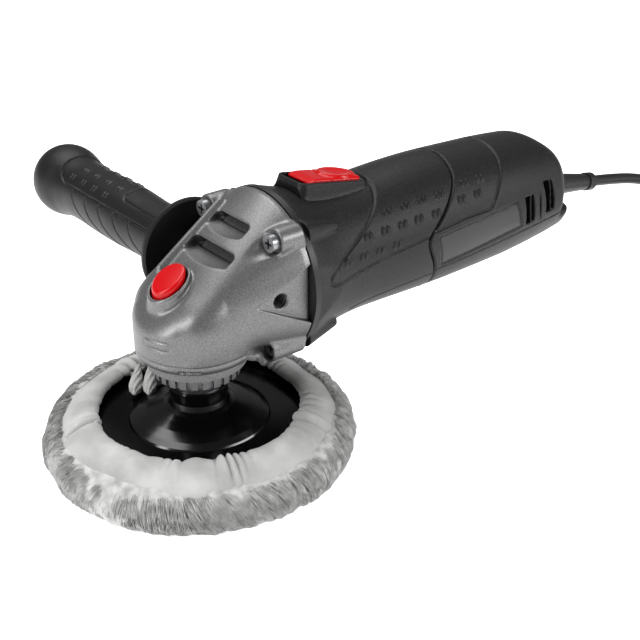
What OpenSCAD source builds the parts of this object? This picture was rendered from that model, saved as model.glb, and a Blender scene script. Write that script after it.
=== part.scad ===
// Angle-head rotary polisher with a wool bonnet, side handle and mains lead.
// Millimetres. The origin is the bonnet's work face on the spindle axis, +Z runs up
// the spindle, +X runs along the motor to the mains lead, +Y points to the side handle.

/* [Bonnet and disc] */
// Diameter of the backing disc
disc_d = 125; // [100:1:160]
// Thickness of the disc at its rim
disc_rim_t = 4.5; // [3:0.5:7]
// Diameter of the raised dome on the disc
dome_d = 66; // [50:1:80]
// Height of the dome over the disc's flat
dome_h = 7.5; // [4:0.5:12]
// Diameter of the disc's neck
neck_d = 27.8; // [25:0.2:34]
// Height of the neck's top over the disc's flat
neck_h = 17.7; // [14:0.1:24]
// Thickness of the foam under the disc
foam_t = 8; // [4:1:14]
// Thickness of the wool under the foam
wool_t = 8; // [5:1:14]
// How far the wool stands out past the disc's edge
wool_out = 10.5; // [6:0.5:14]
// Width of the bonnet's hem, from its opening outwards
hem_w = 18; // [12:1:24]
// Height of the hem over the disc
hem_h = 7; // [5:0.5:10]
// Diameter of the drawstring
string_d = 3; // [2:0.5:4]

/* [Spindle and gears] */
// Diameter of the spindle thread
thread_d = 14; // [12:1:16]
// Height of the motor axis over the top of the disc's neck
motor_rise = 46.6; // [44:0.2:52]
// Module of the bevel gears
gear_module = 1.25; // [1.1:0.05:1.3]
// Teeth on the crown gear
crown_teeth = 36; // [36:4:40]
// Teeth on the pinion
pinion_teeth = 12; // [10:1:13]

/* [Gear head] */
// Diameter of the nose around the spindle
nose_d = 56.4; // [56:0.2:69]
// Diameter of the flange that meets the motor housing
flange_d = 79; // [78:1:90]
// Distance from the spindle axis to the flange's face
flange_x = 39.4; // [39:0.2:48]
// Width of the head across its flat sides
head_w = 69.6; // [66:0.2:76]
// Spacing of the head screws, sideways and up
screw_pitch = 52; // [48:1:58]
// Diameter of the knurled collar under the head
collar_d = 40.6; // [38:0.2:44]
// Diameter of the red spindle-lock button
button_d = 16.4; // [12:0.2:18]
// Travel of the spindle-lock button
button_travel = 3; // [2:0.1:3]

/* [Motor housing] */
// Diameter at the barrel's waist
waist_d = 64.8; // [64:0.2:78]
// Thickness of the plastic walls
wall = 2.8; // [2:0.1:3.5]
// Distance from the spindle axis to the rear face
rear_x = 230; // [228:1:280]
// Thickness of the air baffle
baffle_t = 3; // [2:0.5:4]
// Diameter of the armature's core
core_d = 31; // [26:1:36]
// Length of the armature's core
core_l = 36; // [30:1:38]

/* [Switch] */
// Slope of the switch platform, falling to the rear
platform_slope = 10.6; // [8:0.2:15]
// Length of the switch platform
platform_l = 44.5; // [40:0.5:50]
// Width of the switch platform
platform_w = 23; // [20:1:28]
// Length of the sliding button
slider_l = 34.5; // [30:0.5:38]
// Width of the sliding button
slider_w = 17.4; // [14:0.2:20]
// Travel of the sliding button
slider_travel = 4; // [3:0.5:5]

/* [Side handle] */
// Diameter of the grip
grip_d = 33; // [28:1:38]
// Diameter of the grip's end bulb
bulb_d = 39.6; // [36:0.2:46]
// Distance from the spindle axis to the handle's end
handle_end = 180; // [150:1:190]
// Diameter of the hand guard
guard_d = 51.6; // [46:0.2:70]
// Distance from the spindle axis to the guard's middle
guard_y = 42; // [40:0.5:46]

/* [Mains lead] */
// Diameter of the mains lead
cord_d = 6.5; // [6:0.1:8]
// Length of the strain relief outside the housing
relief_l = 49; // [30:1:58]
// Mean diameter of the coil of lead
coil_d = 78; // [70:1:84]

/* [Hidden] */
$fn = 96;
// Cut-through allowance and the gaps between pieces
eps = 1;
run_gap = 0.06;
slide_gap = 0.3;
seat_gap = 0.3;

// Heights of the pad's layers
foam_z = wool_t;
disc_z = foam_z + foam_t;
disc_top = disc_z + disc_rim_t;
neck_top = disc_top + neck_h;
motor_z = neck_top + motor_rise;
disc_r = disc_d / 2;
bonnet_r = disc_r + wool_out;
hem_z = disc_top + seat_gap;
hem_in = disc_r - 14.5;

// Spindle stations
seat_h = 6;
cover_z = neck_top + 6.8;
collar_h = 6;
nose_z = cover_z + 11;
bearing_w = 11;
bearing_z = cover_z + 9;
bearing_r = 17.5;
journal_r = 7.5;
spigot_r = 20;
top_journal_r = 5;
bush_r = 6.8;
chamber_top = motor_z - 3.6;

// Bevel gears: both pitch cones meet where the two shafts' axes cross
crown_r = gear_module * crown_teeth / 2;
pinion_r = gear_module * pinion_teeth / 2;
addendum = 0.85 * gear_module;
dedendum = 1.15 * gear_module;
face_in = 0.71;
tooth_share = 0.38;
gear_back = motor_z - 15.5;
web_top = motor_z - 8.6;
lock_rho = 12.5;
lock_pin_r = 2.5;
lock_holes = 4;

// Spindle lock
button_tilt = 30;
face_z = motor_z + 11.4;
rim_z = face_z - 5;
button_t = 6.2;
floor_z = face_z - button_t - button_travel - 0.2;
spring_floor = motor_z - 0.2;
spring_top = face_z - 4.2;

// Motor stations along X
front_bearing_w = 8;
housing_x = flange_x + baffle_t;
fan_x = housing_x + 3;
fan_w = 9;
core_x = housing_x + 21.6;
coil_end = 7.5;
bracket_x = core_x + core_l + 10;
commutator_x = bracket_x + 3.5;
commutator_l = 14;
commutator_r = 10;
brush_x = commutator_x + commutator_l / 2;
rear_bearing_x = commutator_x + commutator_l + 6;
rear_bearing_w = 7;
stator_flat = 24.6;
stator_r = waist_d / 2 - wall - 0.1;
air_gap = 0.5;
barrel_r0 = waist_d / 2;
rear_arc_x = rear_x - 32;
lip_x = rear_x + 8;
lip_drop = 7;
screw_r = 2.1;
screw_seat = flange_x - 12.4;
screw_end = housing_x + 14;
handle_x = 24.8;
side_hole_r = 3.4;
side_hole_l = 14;

// Switch stations
platform_x = housing_x + 12.1;
platform_z = motor_z + 41.4;
recess_d = 2;
stem_x = platform_x + 20;
stem_l = 10;
rod_z = motor_z + 25.4;
rod_t = 1.6;
rod_end = rear_x - 64;

// Mains lead: where it leaves, how it leans, and the points of its free stretch
exit_z = motor_z - 5.5;
relief_lean = 10.5;
relief_end = [rear_x + relief_l * cos(relief_lean), 0, exit_z - relief_l * sin(relief_lean)];
coil_c = [415, -45];
coil_layers = 4;
coil_in = coil_d / 2 - 1.5 * cord_d;
coil_out = coil_d / 2 + 1.5 * cord_d;
cord_points = [[300, 0, 66.5], [318, 0, 62.5], [334, 0, 57.5], [348, 0, 51.5], [361, 0, 45],
    [374, -1.5, 39], [387, -4.5, 34.5], [399, -7.5, 31.5], [410, -9.5, 28.5]];
tail_y = coil_c[1] - coil_d / 2 - cord_d;
plug_x = 374;
plug_w = 36;
plug_h = 18;
plug_l = 34;

// Barrel radius along X: a flare to the flange, a waist, a palm swell and a tail
function flare(x) = (flange_d / 2 - barrel_r0 + 0.3) * exp(-(x - housing_x) / 14);
function swell(x) = x > 84 && x < rear_x - 34 ? 1.5 * sin(180 * (x - 84) / (rear_x - 118)) : 0;
function tail(x) = x > rear_x - 40 ? 4.4 * pow((x - rear_x + 40) / 46, 2) : 0;
function barrel_r(x) = barrel_r0 + flare(x) + swell(x) - tail(x);
function arc(c, r, from, to, n) =
    [for (i = [0:n]) let (a = from + (to - from) * i / n) [c[0] + r * cos(a), c[1] + r * sin(a)]];

module on_motor(x = 0) {
    translate([x, 0, motor_z]) rotate([0, 90, 0]) children();
}

// Children drawn in side view, X across and Z up, are given a width along Y
module across(w) {
    rotate([90, 0, 0]) translate([0, 0, -w / 2]) linear_extrude(w) children();
}

module ring(r_in, r_out, h) {
    difference() {
        cylinder(r = r_out, h = h);
        translate([0, 0, -eps]) cylinder(r = r_in, h = h + 2 * eps);
    }
}

module at_screws(x) {
    for (sy = [-1, 1], sz = [-1, 1])
        translate([x, sy * screw_pitch / 2, motor_z + sz * screw_pitch / 2])
            rotate([0, 90, 0]) children();
}

// A tube of round section swept along points, with n sides
function unit(v) = v / norm(v);
function along(p, i) = unit(p[min(i + 1, len(p) - 1)] - p[max(i - 1, 0)]);
function side_of(t) = unit(cross(t, [0.01, 1, 0.02]));
module sweep(p, r, n) {
    polyhedron(
        points = [for (i = [0:len(p) - 1], k = [0:n - 1])
            let (t = along(p, i), u = side_of(t), v = cross(t, u), a = 360 * k / n)
            p[i] + r * (cos(a) * u + sin(a) * v)],
        faces = concat([[for (k = [n - 1:-1:0]) k]],
            [for (i = [0:len(p) - 2], k = [0:n - 1], h = [0, 1]) let (j = (k + 1) % n)
                h == 0 ? [i * n + k, i * n + j, i * n + n + j]
                    : [i * n + k, i * n + n + j, i * n + n + k]],
            [[for (k = [0:n - 1]) (len(p) - 1) * n + k]]));
}

// ---------- Gear head ----------

module nose_shape() {
    top = motor_z - nose_z;
    rotate_extrude($fn = 48) polygon([[0, 0], [nose_d / 2 - 4.4, 0], [nose_d / 2 - 1.4, 3.5],
        [nose_d / 2, 14], [nose_d / 2, top - 12.5], [nose_d / 2 - 1.5, top - 6.5],
        [nose_d / 2 - 4.4, top - 2], [nose_d / 2 - 8, top + 1.2],
        [nose_d / 2 - 12, top + 3.4], [0, top + 6]]);
}

module head_outer() {
    intersection() {
        hull() {
            translate([0, 0, nose_z]) nose_shape();
            on_motor(flange_x - 3.4) cylinder(r = flange_d / 2, h = 3.4, $fn = 48);
        }
        translate([-nose_d, -head_w / 2, motor_z - 35.5])
            cube([nose_d + flange_x + eps, head_w, 80]);
    }
    at_screws(screw_seat) cylinder(r = 6, h = flange_x - screw_seat);
    button_seat(button_d / 2 + 1.8, nose_z + 20, rim_z);
}

// A post around the button's axis from z0 up to a slanted plane through z1
module button_seat(r, z0, z1) {
    intersection() {
        translate([-lock_rho, 0, z0]) cylinder(r = r, h = 60);
        translate([-lock_rho, 0, z1]) rotate([0, -button_tilt, 0])
            translate([-40, -40, -80]) cube([80, 80, 80]);
    }
}

// Everything above a slanted plane through z1, round the button's axis
module above_seat(r, z1) {
    intersection() {
        translate([-lock_rho, 0, z1 - 15]) cylinder(r = r, h = 60);
        translate([-lock_rho, 0, z1]) rotate([0, -button_tilt, 0])
            translate([-40, -40, 0]) cube([80, 80, 80]);
    }
}

module side_hole(side) {
    translate([handle_x, side * (head_w / 2 - side_hole_l), motor_z])
        rotate([-90 * side, 0, 0]) cylinder(r = side_hole_r, h = side_hole_l + eps);
    translate([handle_x, side * (head_w / 2 - 0.9), motor_z])
        rotate([-90 * side, 0, 0]) cylinder(r1 = side_hole_r, r2 = side_hole_r + 1, h = 1);
}

module vent(z, w, h, x1) {
    translate([-nose_d / 2, -w / 2, motor_z + z]) cube([nose_d / 2 + x1, w, h]);
}

module gear_head() color("silver") difference() {
    head_outer();
    cylinder(r = nose_d / 2 - 1.2, h = nose_z);
    above_seat(button_d / 2 + 2.4, rim_z);
    above_seat(button_d / 2 + slide_gap, floor_z);
    translate([-lock_rho, 0, spring_floor]) cylinder(r = 4.6, h = 20);
    translate([-lock_rho, 0, chamber_top - eps]) cylinder(r = lock_pin_r + run_gap, h = 20);
    translate([0, 0, nose_z - 8]) cylinder(r = spigot_r, h = gear_back - 2.8 - nose_z + 8);
    translate([0, 0, gear_back - 3]) cylinder(r = crown_r + 1.1, h = motor_z - gear_back - 2);
    translate([0, 0, gear_back]) cylinder(r = crown_r - 2.7, h = chamber_top - gear_back);
    translate([0, 0, chamber_top - eps]) cylinder(r = bush_r, h = 6.2 + eps);
    on_motor(9) cylinder(r = 11.5, h = flange_x - front_bearing_w - 9);
    on_motor(flange_x - front_bearing_w) cylinder(r = 14, h = front_bearing_w + eps);
    across(30) polygon([[9, motor_z + 16.5], [flange_x + eps, motor_z + 16.5],
        [flange_x + eps, motor_z + 33], [31, motor_z + 31], [10.5, motor_z + 17.5]]);
    vent(17.5, 30, 4, 14);
    vent(24.8, 23, 4.2, 26);
    side_hole(-1);
    side_hole(1);
    at_screws(screw_seat - 22) cylinder(r = 5.2, h = 22);
    at_screws(screw_seat - eps) cylinder(r = screw_r + 0.3, h = 30);
}

module bearing_cover() color("gainsboro") difference() {
    union() {
        translate([0, 0, cover_z]) cylinder(r = collar_d / 2, h = collar_h);
        translate([0, 0, cover_z + collar_h])
            cylinder(r = nose_d / 2 - 4.7, h = nose_z - cover_z - collar_h);
        translate([0, 0, nose_z - eps]) cylinder(r = spigot_r, h = bearing_z + bearing_w - nose_z + eps);
    }
    translate([0, 0, cover_z - eps]) cylinder(r = 11, h = 30);
    translate([0, 0, bearing_z]) cylinder(r = bearing_r, h = bearing_w + eps);
    for (i = [0:23]) rotate(i * 15)
        translate([collar_d / 2 - 1.2, -1.1, cover_z - eps]) cube([4, 2.2, 4 + eps]);
}

module head_screws() color("dimgray") at_screws(screw_seat) {
    difference() {
        translate([0, 0, -3.6]) cylinder(r = 4.1, h = 3.6);
        for (a = [0, 90]) rotate(a) translate([-2.4, -0.5, -4]) cube([4.8, 1, 2.2]);
    }
    cylinder(r = screw_r, h = screw_end - screw_seat);
}

// ---------- Bearings ----------

function race(bore, outer) = 0.28 * (outer - bore);
module outer_race(bore, outer, w) {
    ring(outer - race(bore, outer), outer, w);
}
module inner_race(bore, outer, w, balls) {
    t = race(bore, outer);
    ball_r = (outer - bore - 2 * t) / 2 - 0.3;
    ring(bore, bore + t, w);
    for (i = [0:balls - 1]) rotate(i * 360 / balls)
        translate([(bore + outer) / 2, 0, w / 2]) sphere(r = ball_r, $fn = 24);
    translate([0, 0, w / 2 - 0.7]) ring(bore + t, (bore + outer) / 2, 1.4);
}

module spindle_bearing_outer() color("lightsteelblue")
    translate([0, 0, bearing_z]) outer_race(journal_r, bearing_r, bearing_w);
module spindle_bearing_inner() color("lightgray")
    translate([0, 0, bearing_z]) inner_race(journal_r, bearing_r, bearing_w, 8);
module spindle_bush() color("peru")
    translate([0, 0, chamber_top]) ring(top_journal_r + run_gap, bush_r, 6);
module front_bearing_outer() color("lightsteelblue")
    on_motor(flange_x - front_bearing_w) outer_race(6, 14, front_bearing_w);
module front_bearing_inner() color("lightgray")
    on_motor(flange_x - front_bearing_w) inner_race(6, 14, front_bearing_w, 8);
module rear_bearing_outer() color("lightsteelblue")
    on_motor(rear_bearing_x) outer_race(4, 11, rear_bearing_w);
module rear_bearing_inner() color("lightgray")
    on_motor(rear_bearing_x) inner_race(4, 11, rear_bearing_w, 7);
module bearing_cup() color("black") on_motor(rear_bearing_x) difference() {
    cylinder(r = 13, h = rear_bearing_w + 2);
    translate([0, 0, -eps]) cylinder(r = 11, h = rear_bearing_w + eps);
}

// ---------- Spindle and gears ----------

module spindle() color("darkgray") {
    translate([0, 0, disc_z + 5]) cylinder(r = thread_d / 2 - 0.05, h = neck_top - disc_z - 5);
    translate([0, 0, neck_top]) cylinder(r = 12.5, h = seat_h);
    translate([0, 0, neck_top + seat_h]) cylinder(r = 9, h = bearing_z - neck_top - seat_h);
    translate([0, 0, bearing_z]) cylinder(r = journal_r, h = bearing_w);
    translate([0, 0, bearing_z + bearing_w])
        cylinder(r = journal_r + 1.1, h = gear_back - bearing_z - bearing_w);
    translate([0, 0, gear_back]) cylinder(r = journal_r, h = web_top - gear_back);
    translate([0, 0, web_top]) cylinder(r = journal_r - 1, h = 1.6);
    translate([0, 0, web_top + 1.6]) cylinder(r = top_journal_r, h = chamber_top + 5.6 - web_top - 1.6);
}

module spindle_clip() color("black")
    translate([0, 0, web_top]) difference() {
        ring(journal_r - 1, journal_r + 1.4, 1.2);
        translate([0, -2, -eps]) cube([20, 4, 4]);
    }

// One gap between bevel teeth, a wedge that narrows towards the point where the
// axes cross; local X runs out along the pitch cone and local Z is its normal
module tooth_gap(cone, teeth_pitch) {
    w = teeth_pitch * (1 - tooth_share) / 2;
    function section(k) = [[-0.72 * w * k, -dedendum * k], [0.72 * w * k, -dedendum * k],
        [1.5 * w * k, 2 * addendum * k], [-1.5 * w * k, 2 * addendum * k]];
    near = face_in - 0.15;
    far = 1.15;
    polyhedron(points = concat([for (q = section(near)) [near * cone, q[0], q[1]]],
            [for (q = section(far)) [far * cone, q[0], q[1]]]),
        faces = [[0, 1, 2, 3], [7, 6, 5, 4], [0, 4, 5, 1], [1, 5, 6, 2], [2, 6, 7, 3],
            [3, 7, 4, 0]]);
}

cone_l = sqrt(crown_r * crown_r + pinion_r * pinion_r);
cone_a = atan(pinion_r / crown_r);
tooth_pitch = PI * gear_module;

module crown_gear() color("slategray") difference() {
    translate([0, 0, motor_z]) rotate_extrude() polygon([[journal_r, gear_back - motor_z],
        [14, gear_back - motor_z], [crown_r + 0.4, gear_back - motor_z + 4],
        [crown_r + 0.4, -pinion_r + addendum], [crown_r * face_in, (addendum - pinion_r) * face_in],
        [crown_r * face_in, web_top - motor_z], [journal_r, web_top - motor_z]]);
    for (i = [0:crown_teeth - 1]) rotate((i + 0.5) * 360 / crown_teeth)
        translate([0, 0, motor_z]) rotate([0, cone_a, 0]) tooth_gap(cone_l, tooth_pitch);
    for (i = [0:lock_holes - 1]) rotate(i * 360 / lock_holes)
        translate([-lock_rho, 0, gear_back - eps]) cylinder(r = lock_pin_r + 0.4, h = 12);
}

// The pinion stands on its cone: local Z is the motor's axis
module pinion() color("slategray") on_motor() difference() {
    translate([0, 0, crown_r * face_in])
        cylinder(r1 = (pinion_r + addendum) * face_in, r2 = pinion_r + addendum,
            h = crown_r * (1 - face_in));
    for (i = [0:pinion_teeth - 1]) rotate(i * 360 / pinion_teeth)
        rotate([0, cone_a - 90, 0]) rotate([180, 0, 0]) tooth_gap(cone_l, tooth_pitch);
    cylinder(r = 3.5, h = 60);
}

module pinion_nut() color("dimgray") on_motor(crown_r * face_in - 3) difference() {
    cylinder(r = 4.4, h = 3, $fn = 6);
    translate([0, 0, -eps]) cylinder(r = 2.5, h = 3 + 2 * eps);
}

// ---------- Spindle lock ----------

module lock_button() color("red") difference() {
    intersection() {
        button_seat(button_d / 2, floor_z - 20, face_z);
        above_seat(button_d / 2 + eps, face_z - button_t);
    }
    translate([-lock_rho, 0, floor_z - 15]) cylinder(r = 4.6, h = spring_top - floor_z + 15);
    translate([-lock_rho, 0, floor_z - 15]) cylinder(r = lock_pin_r, h = face_z - floor_z + 13);
}
module lock_pin() color("lightgray") translate([-lock_rho, 0, web_top + 0.7])
    cylinder(r = lock_pin_r, h = face_z - 2 - web_top - 0.7);
module lock_spring() color("gray")
    sweep([for (i = [0:48]) [-lock_rho + 3.6 * cos(30 * i), 3.6 * sin(30 * i),
        spring_floor + 0.4 + (spring_top - spring_floor - 0.8) * i / 48]], 0.35, 8);

// ---------- Motor housing ----------

module barrel(inset, x0, x1, n) {
    on_motor() rotate_extrude() polygon(concat([[0, x0]],
        [for (i = [0:n]) let (x = x0 + (x1 - x0) * i / n) [barrel_r(max(x, housing_x)) - inset, x]],
        [[0, x1]]));
}

// Side view of the joint between the two shells, which slopes forward down the flank
seam = [[147, 34], [139, 25], [131, 17.5], [122, 10], [116.5, 5.5], [115.5, 2], [118, -5],
    [121, -12], [124, -20], [125.5, -28]];
module seam_side() {
    across(120) polygon(concat([[2 * rear_x, motor_z + 60], [147, motor_z + 60]],
        [for (p = seam) [p[0], motor_z + p[1]]],
        [[125.5, motor_z - 60], [2 * rear_x, motor_z - 60]]));
}

// Side view of the rear end: a rounded top and a lip below
module rear_side(inset) {
    r = barrel_r(rear_arc_x);
    across(120) polygon(concat([[80, motor_z + r + 20], [rear_arc_x, motor_z + r + 20]],
        arc([rear_arc_x, motor_z], rear_x - rear_arc_x - inset, 85, 0, 12),
        [[rear_x - inset, motor_z - lip_drop - inset],
        [lip_x - 0.5 - inset, motor_z - lip_drop - inset],
        [lip_x - inset, motor_z - lip_drop - 4], [lip_x - 1.5 - inset, motor_z - 17],
        [lip_x - 6 - inset, motor_z - 26 + inset], [lip_x - 16, motor_z - 60],
        [80, motor_z - 60]]));
}

module slider_slot() {
    translate([stem_x - slider_travel - 0.8, -3.6, motor_z + 20])
        cube([stem_l + slider_travel + 1.6, 7.2, 24]);
}

module motor_housing() color("#2b2b2d") difference() {
    union() {
        difference() {
            barrel(0, housing_x, 150, 16);
            barrel(wall, housing_x - eps, 150 + eps, 16);
        }
        intersection() {
            at_screws(housing_x) cylinder(r1 = 5.8, r2 = 3.4, h = 21);
            on_motor() difference() {
                cylinder(r = 60, h = 120);
                translate([0, 0, fan_x - 2]) cylinder(r = 31.2, h = 80);
            }
        }
        intersection() {
            for (a = [45:90:315]) on_motor(core_x) rotate(a)
                translate([stator_r, -2.5, 0]) cube([6, 5, core_l]);
            barrel(wall - 0.4, housing_x, 150, 16);
        }
    }
    seam_side();
    slider_slot();
    platform_recess();
    at_screws(housing_x - eps) cylinder(r = screw_r + 0.05, h = screw_end - housing_x + 2);
}

module baffle_plate() color("black") on_motor(flange_x) difference() {
    cylinder(r = flange_d / 2 + 0.3, h = baffle_t);
    translate([0, 0, -eps]) cylinder(r = 21, h = baffle_t + 2 * eps);
    for (sy = [-1, 1], sz = [-1, 1])
        translate([sz * screw_pitch / 2, sy * screw_pitch / 2, -eps])
            cylinder(r = screw_r + 0.3, h = baffle_t + 2 * eps);
}

module rear_housing() color("#303032") difference() {
    union() {
        difference() {
            intersection() {
                barrel(0, 100, lip_x + 4, 20);
                rear_side(0);
                seam_side();
            }
            intersection() {
                barrel(wall, 90, lip_x + 4, 20);
                rear_side(wall);
            }
        }
        intersection() {
            union() {
                at_rear_screws(-34) cylinder(r = 4.6, h = 8);
                at_clamp(-34) cylinder(r = 3.4, h = exit_z - 2 - motor_z + 34);
                for (x = [rear_x - 73, rear_x - 54]) cradle(x);
            }
            barrel(wall - 0.4, 100, lip_x, 20);
        }
    }
    for (side = [-1, 1], i = [0:2])
        translate([rear_x - 47 + 8.4 * i, side * 30 - 10, motor_z - 7 + 1.2 * i]) cube([5, 20, 20]);
    for (side = [-1, 1]) label_recess(side, 0);
    on_exit(-12) cylinder(r = 7.2, h = 30);
    at_rear_screws(-40) cylinder(r = 1.8, h = 20);
    at_rear_screws(-40) cylinder(r = 3.2, h = 10);
    at_clamp(-30) cylinder(r = 1.45, h = 40);
}

// Ribs that hold the switch with the capacitor under it
module cradle(x) {
    difference() {
        translate([x, -32, motor_z - 34]) cube([2, 64, 42]);
        translate([x - eps, -11, motor_z - 6]) cube([4, 22, 20]);
        translate([x - eps, -8, motor_z - 24]) cube([4, 16, 20]);
        translate([x - eps, -40, motor_z - 2]) cube([4, 80, 20]);
    }
}
module at_rear_screws(z) {
    for (side = [-1, 1]) translate([bracket_x + 20, side * 10, motor_z + z]) children();
}
module at_clamp(z) {
    for (side = [-1, 1]) translate([rear_x - 26, side * 7.4, motor_z + z]) children();
}
module rear_screws() color("dimgray") {
    at_rear_screws(-32.3) cylinder(r = 3, h = 2.3);
    at_rear_screws(-30) cylinder(r = 1.75, h = 9);
}

// A shallow tilted panel on each flank of the rear shell
module label_recess(side, inset) {
    intersection() {
        translate([rear_x - 106, side * 50 - 30, motor_z]) rotate([0, -5, 0])
            translate([inset, 0, -11 + inset]) cube([55 - 2 * inset, 60, 18 - 2 * inset]);
        difference() {
            barrel(-eps, 100, rear_x - 30, 16);
            barrel(0.8, 90, rear_x - 20, 16);
        }
    }
}
module label_plates() color("#202022") for (side = [-1, 1]) intersection() {
    label_recess(side, 0.15);
    barrel(0.2, 100, rear_x - 30, 16);
}

// ---------- Motor ----------

module stator_core() color("silver") on_motor(core_x) difference() {
    intersection() {
        cylinder(r = stator_r, h = core_l);
        translate([-stator_flat, -stator_flat, 0]) cube([2 * stator_flat, 2 * stator_flat, core_l]);
    }
    translate([0, 0, -eps]) cylinder(r = core_d / 2 + air_gap, h = core_l + 2 * eps);
    for (s = [-1, 1]) translate([-11, s > 0 ? 17 : -22.5, -eps]) cube([22, 5.5, core_l + 2 * eps]);
}
module field_coils() color("#b5651d") on_motor(core_x) for (s = [-1, 1])
    translate([-10.5, s > 0 ? 17.3 : -22.2, -coil_end + 1]) cube([21, 4.9, core_l + 2 * coil_end - 2]);
module armature_shaft() color("lightgray") on_motor() {
    translate([0, 0, crown_r * face_in - 4]) cylinder(r = 2.5, h = 4);
    translate([0, 0, crown_r * face_in]) cylinder(r = 3.5, h = crown_r * (1 - face_in));
    translate([0, 0, crown_r]) cylinder(r = 5, h = flange_x - front_bearing_w - crown_r);
    translate([0, 0, flange_x - front_bearing_w]) cylinder(r = 6, h = front_bearing_w);
    translate([0, 0, flange_x]) cylinder(r = 5, h = rear_bearing_x - flange_x);
    translate([0, 0, rear_bearing_x]) cylinder(r = 4, h = rear_bearing_w);
}
module armature_core() color("slategray") on_motor(core_x) difference() {
    ring(5, core_d / 2, core_l);
    for (i = [0:11]) rotate(i * 30) translate([core_d / 2 - 4, -1, -eps])
        cube([5, 2, core_l + 2 * eps]);
}
module armature_coils() color("#b87333") on_motor(core_x) {
    translate([0, 0, -coil_end]) ring(5, core_d / 2 - 2, coil_end);
    translate([0, 0, core_l]) ring(5, core_d / 2 - 2, coil_end);
}
module commutator() color("#c77b3f") on_motor(commutator_x) difference() {
    ring(5, commutator_r, commutator_l);
    for (i = [0:23]) rotate(i * 15) translate([commutator_r - 1, -0.25, -eps])
        cube([2, 0.5, commutator_l + 2 * eps]);
}
module fan() color("#3a3a3c") on_motor(fan_x) {
    ring(5, 9, fan_w);
    ring(5, 29.5, 2);
    for (i = [0:12]) rotate(i * 360 / 13) translate([15, -0.8, 1]) cube([14, 1.6, fan_w - 1]);
}
module motor_bracket() color("#3a3a3c") {
    on_motor(bracket_x) difference() {
        cylinder(r = barrel_r(bracket_x) - wall - 0.05, h = 3);
        translate([0, 0, -eps]) cylinder(r = 14, h = 3 + 2 * eps);
        translate([-40, -6, -eps]) cube([16, 12, 3 + 2 * eps]);
        for (a = [45, 135, 225, 315]) rotate(a) translate([22, 0, -eps]) cylinder(r = 4.5, h = 3 + 2 * eps);
    }
    on_motor(rear_bearing_x) ring(13, 16, rear_bearing_w + 2);
    for (s = [-1, 1]) translate([bracket_x + 3, -5, motor_z + (s > 0 ? 14 : -17)])
        cube([rear_bearing_x - bracket_x - 1, 10, 3]);
    difference() {
        translate([bracket_x + 2, -14.6, motor_z - 26]) cube([22, 29.2, 4]);
        at_rear_screws(-30) cylinder(r = 1.8, h = 12);
    }
}
module brush_tube(side) {
    translate([brush_x, side * 12.5, motor_z]) rotate([-90 * side, 0, 0])
        translate([bracket_x + 3 - brush_x, -5.5, 0]) cube([brush_x + 1 - bracket_x, 11, 14]);
}
module brush_holders() color("goldenrod") for (side = [-1, 1]) difference() {
    brush_tube(side);
    translate([brush_x - 2.8, side * 19.5 - 10, motor_z - 4.3]) cube([5.6, 20, 8.6]);
}
module brush(side) {
    translate([brush_x - 2.5, side > 0 ? commutator_r + slide_gap : -commutator_r - slide_gap - 10,
        motor_z - 4]) cube([5, 10, 8]);
}
module brush_near() color("#1c1c1c") brush(-1);
module brush_far() color("#1c1c1c") brush(1);

// ---------- Switch ----------

module on_platform(x = 0) {
    translate([platform_x, 0, platform_z]) rotate([0, platform_slope, 0])
        translate([x, 0, 0]) children();
}
module rounded_bar(l, w, h, r) {
    hull() for (x = [r, l - r], y = [r - w / 2, w / 2 - r]) translate([x, y, 0])
        cylinder(r = r, h = h, $fn = 32);
}
module switch_bezel() color("#242426") difference() {
    on_platform() translate([0, 0, -30]) rounded_bar(platform_l, platform_w, 30, 4);
    barrel(0, housing_x, 150, 16);
    platform_recess();
    slider_slot();
}
module platform_recess() {
    on_platform(1.4) translate([0, 0, -recess_d])
        rounded_bar(platform_l - 2.8, slider_w + 2 * slide_gap, 10, 2.5);
}
module switch_slider() color("red") {
    on_platform(platform_l - 2.2 - slider_l) difference() {
        union() {
            translate([0, 0, slide_gap - recess_d])
                rounded_bar(slider_l, slider_w, recess_d + 1.1 - slide_gap, 2.2);
            translate([slider_l - 11, 0, 0]) rotate_extrude() intersection() {
                translate([0, -40]) circle(r = 42.4);
                square([7.4, 10]);
            }
        }
        translate([slider_l - 11, 0, 16.6]) sphere(r = 15);
    }
    translate([stem_x, -3, rod_z + rod_t]) cube([stem_l, 6, platform_z - rod_z - rod_t - 5.4]);
}
module switch_rod() color("#3a3a3c") {
    translate([stem_x, -3.5, rod_z]) cube([rod_end - stem_x, 7, rod_t]);
    translate([rod_end - 3, -3.5, rod_z - 4]) cube([3, 7, 4]);
}
module switch_module() color("#1f1f22") translate([rear_x - 76, -11, motor_z - 6]) {
    cube([36, 22, 26]);
    translate([3, 7.5, 25]) cube([2, 7, 3.4]);
}
module capacitor() color("#d8a830") translate([rear_x - 76, -8, motor_z - 24]) cube([26, 16, 14]);

// ---------- Mains lead ----------

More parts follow.
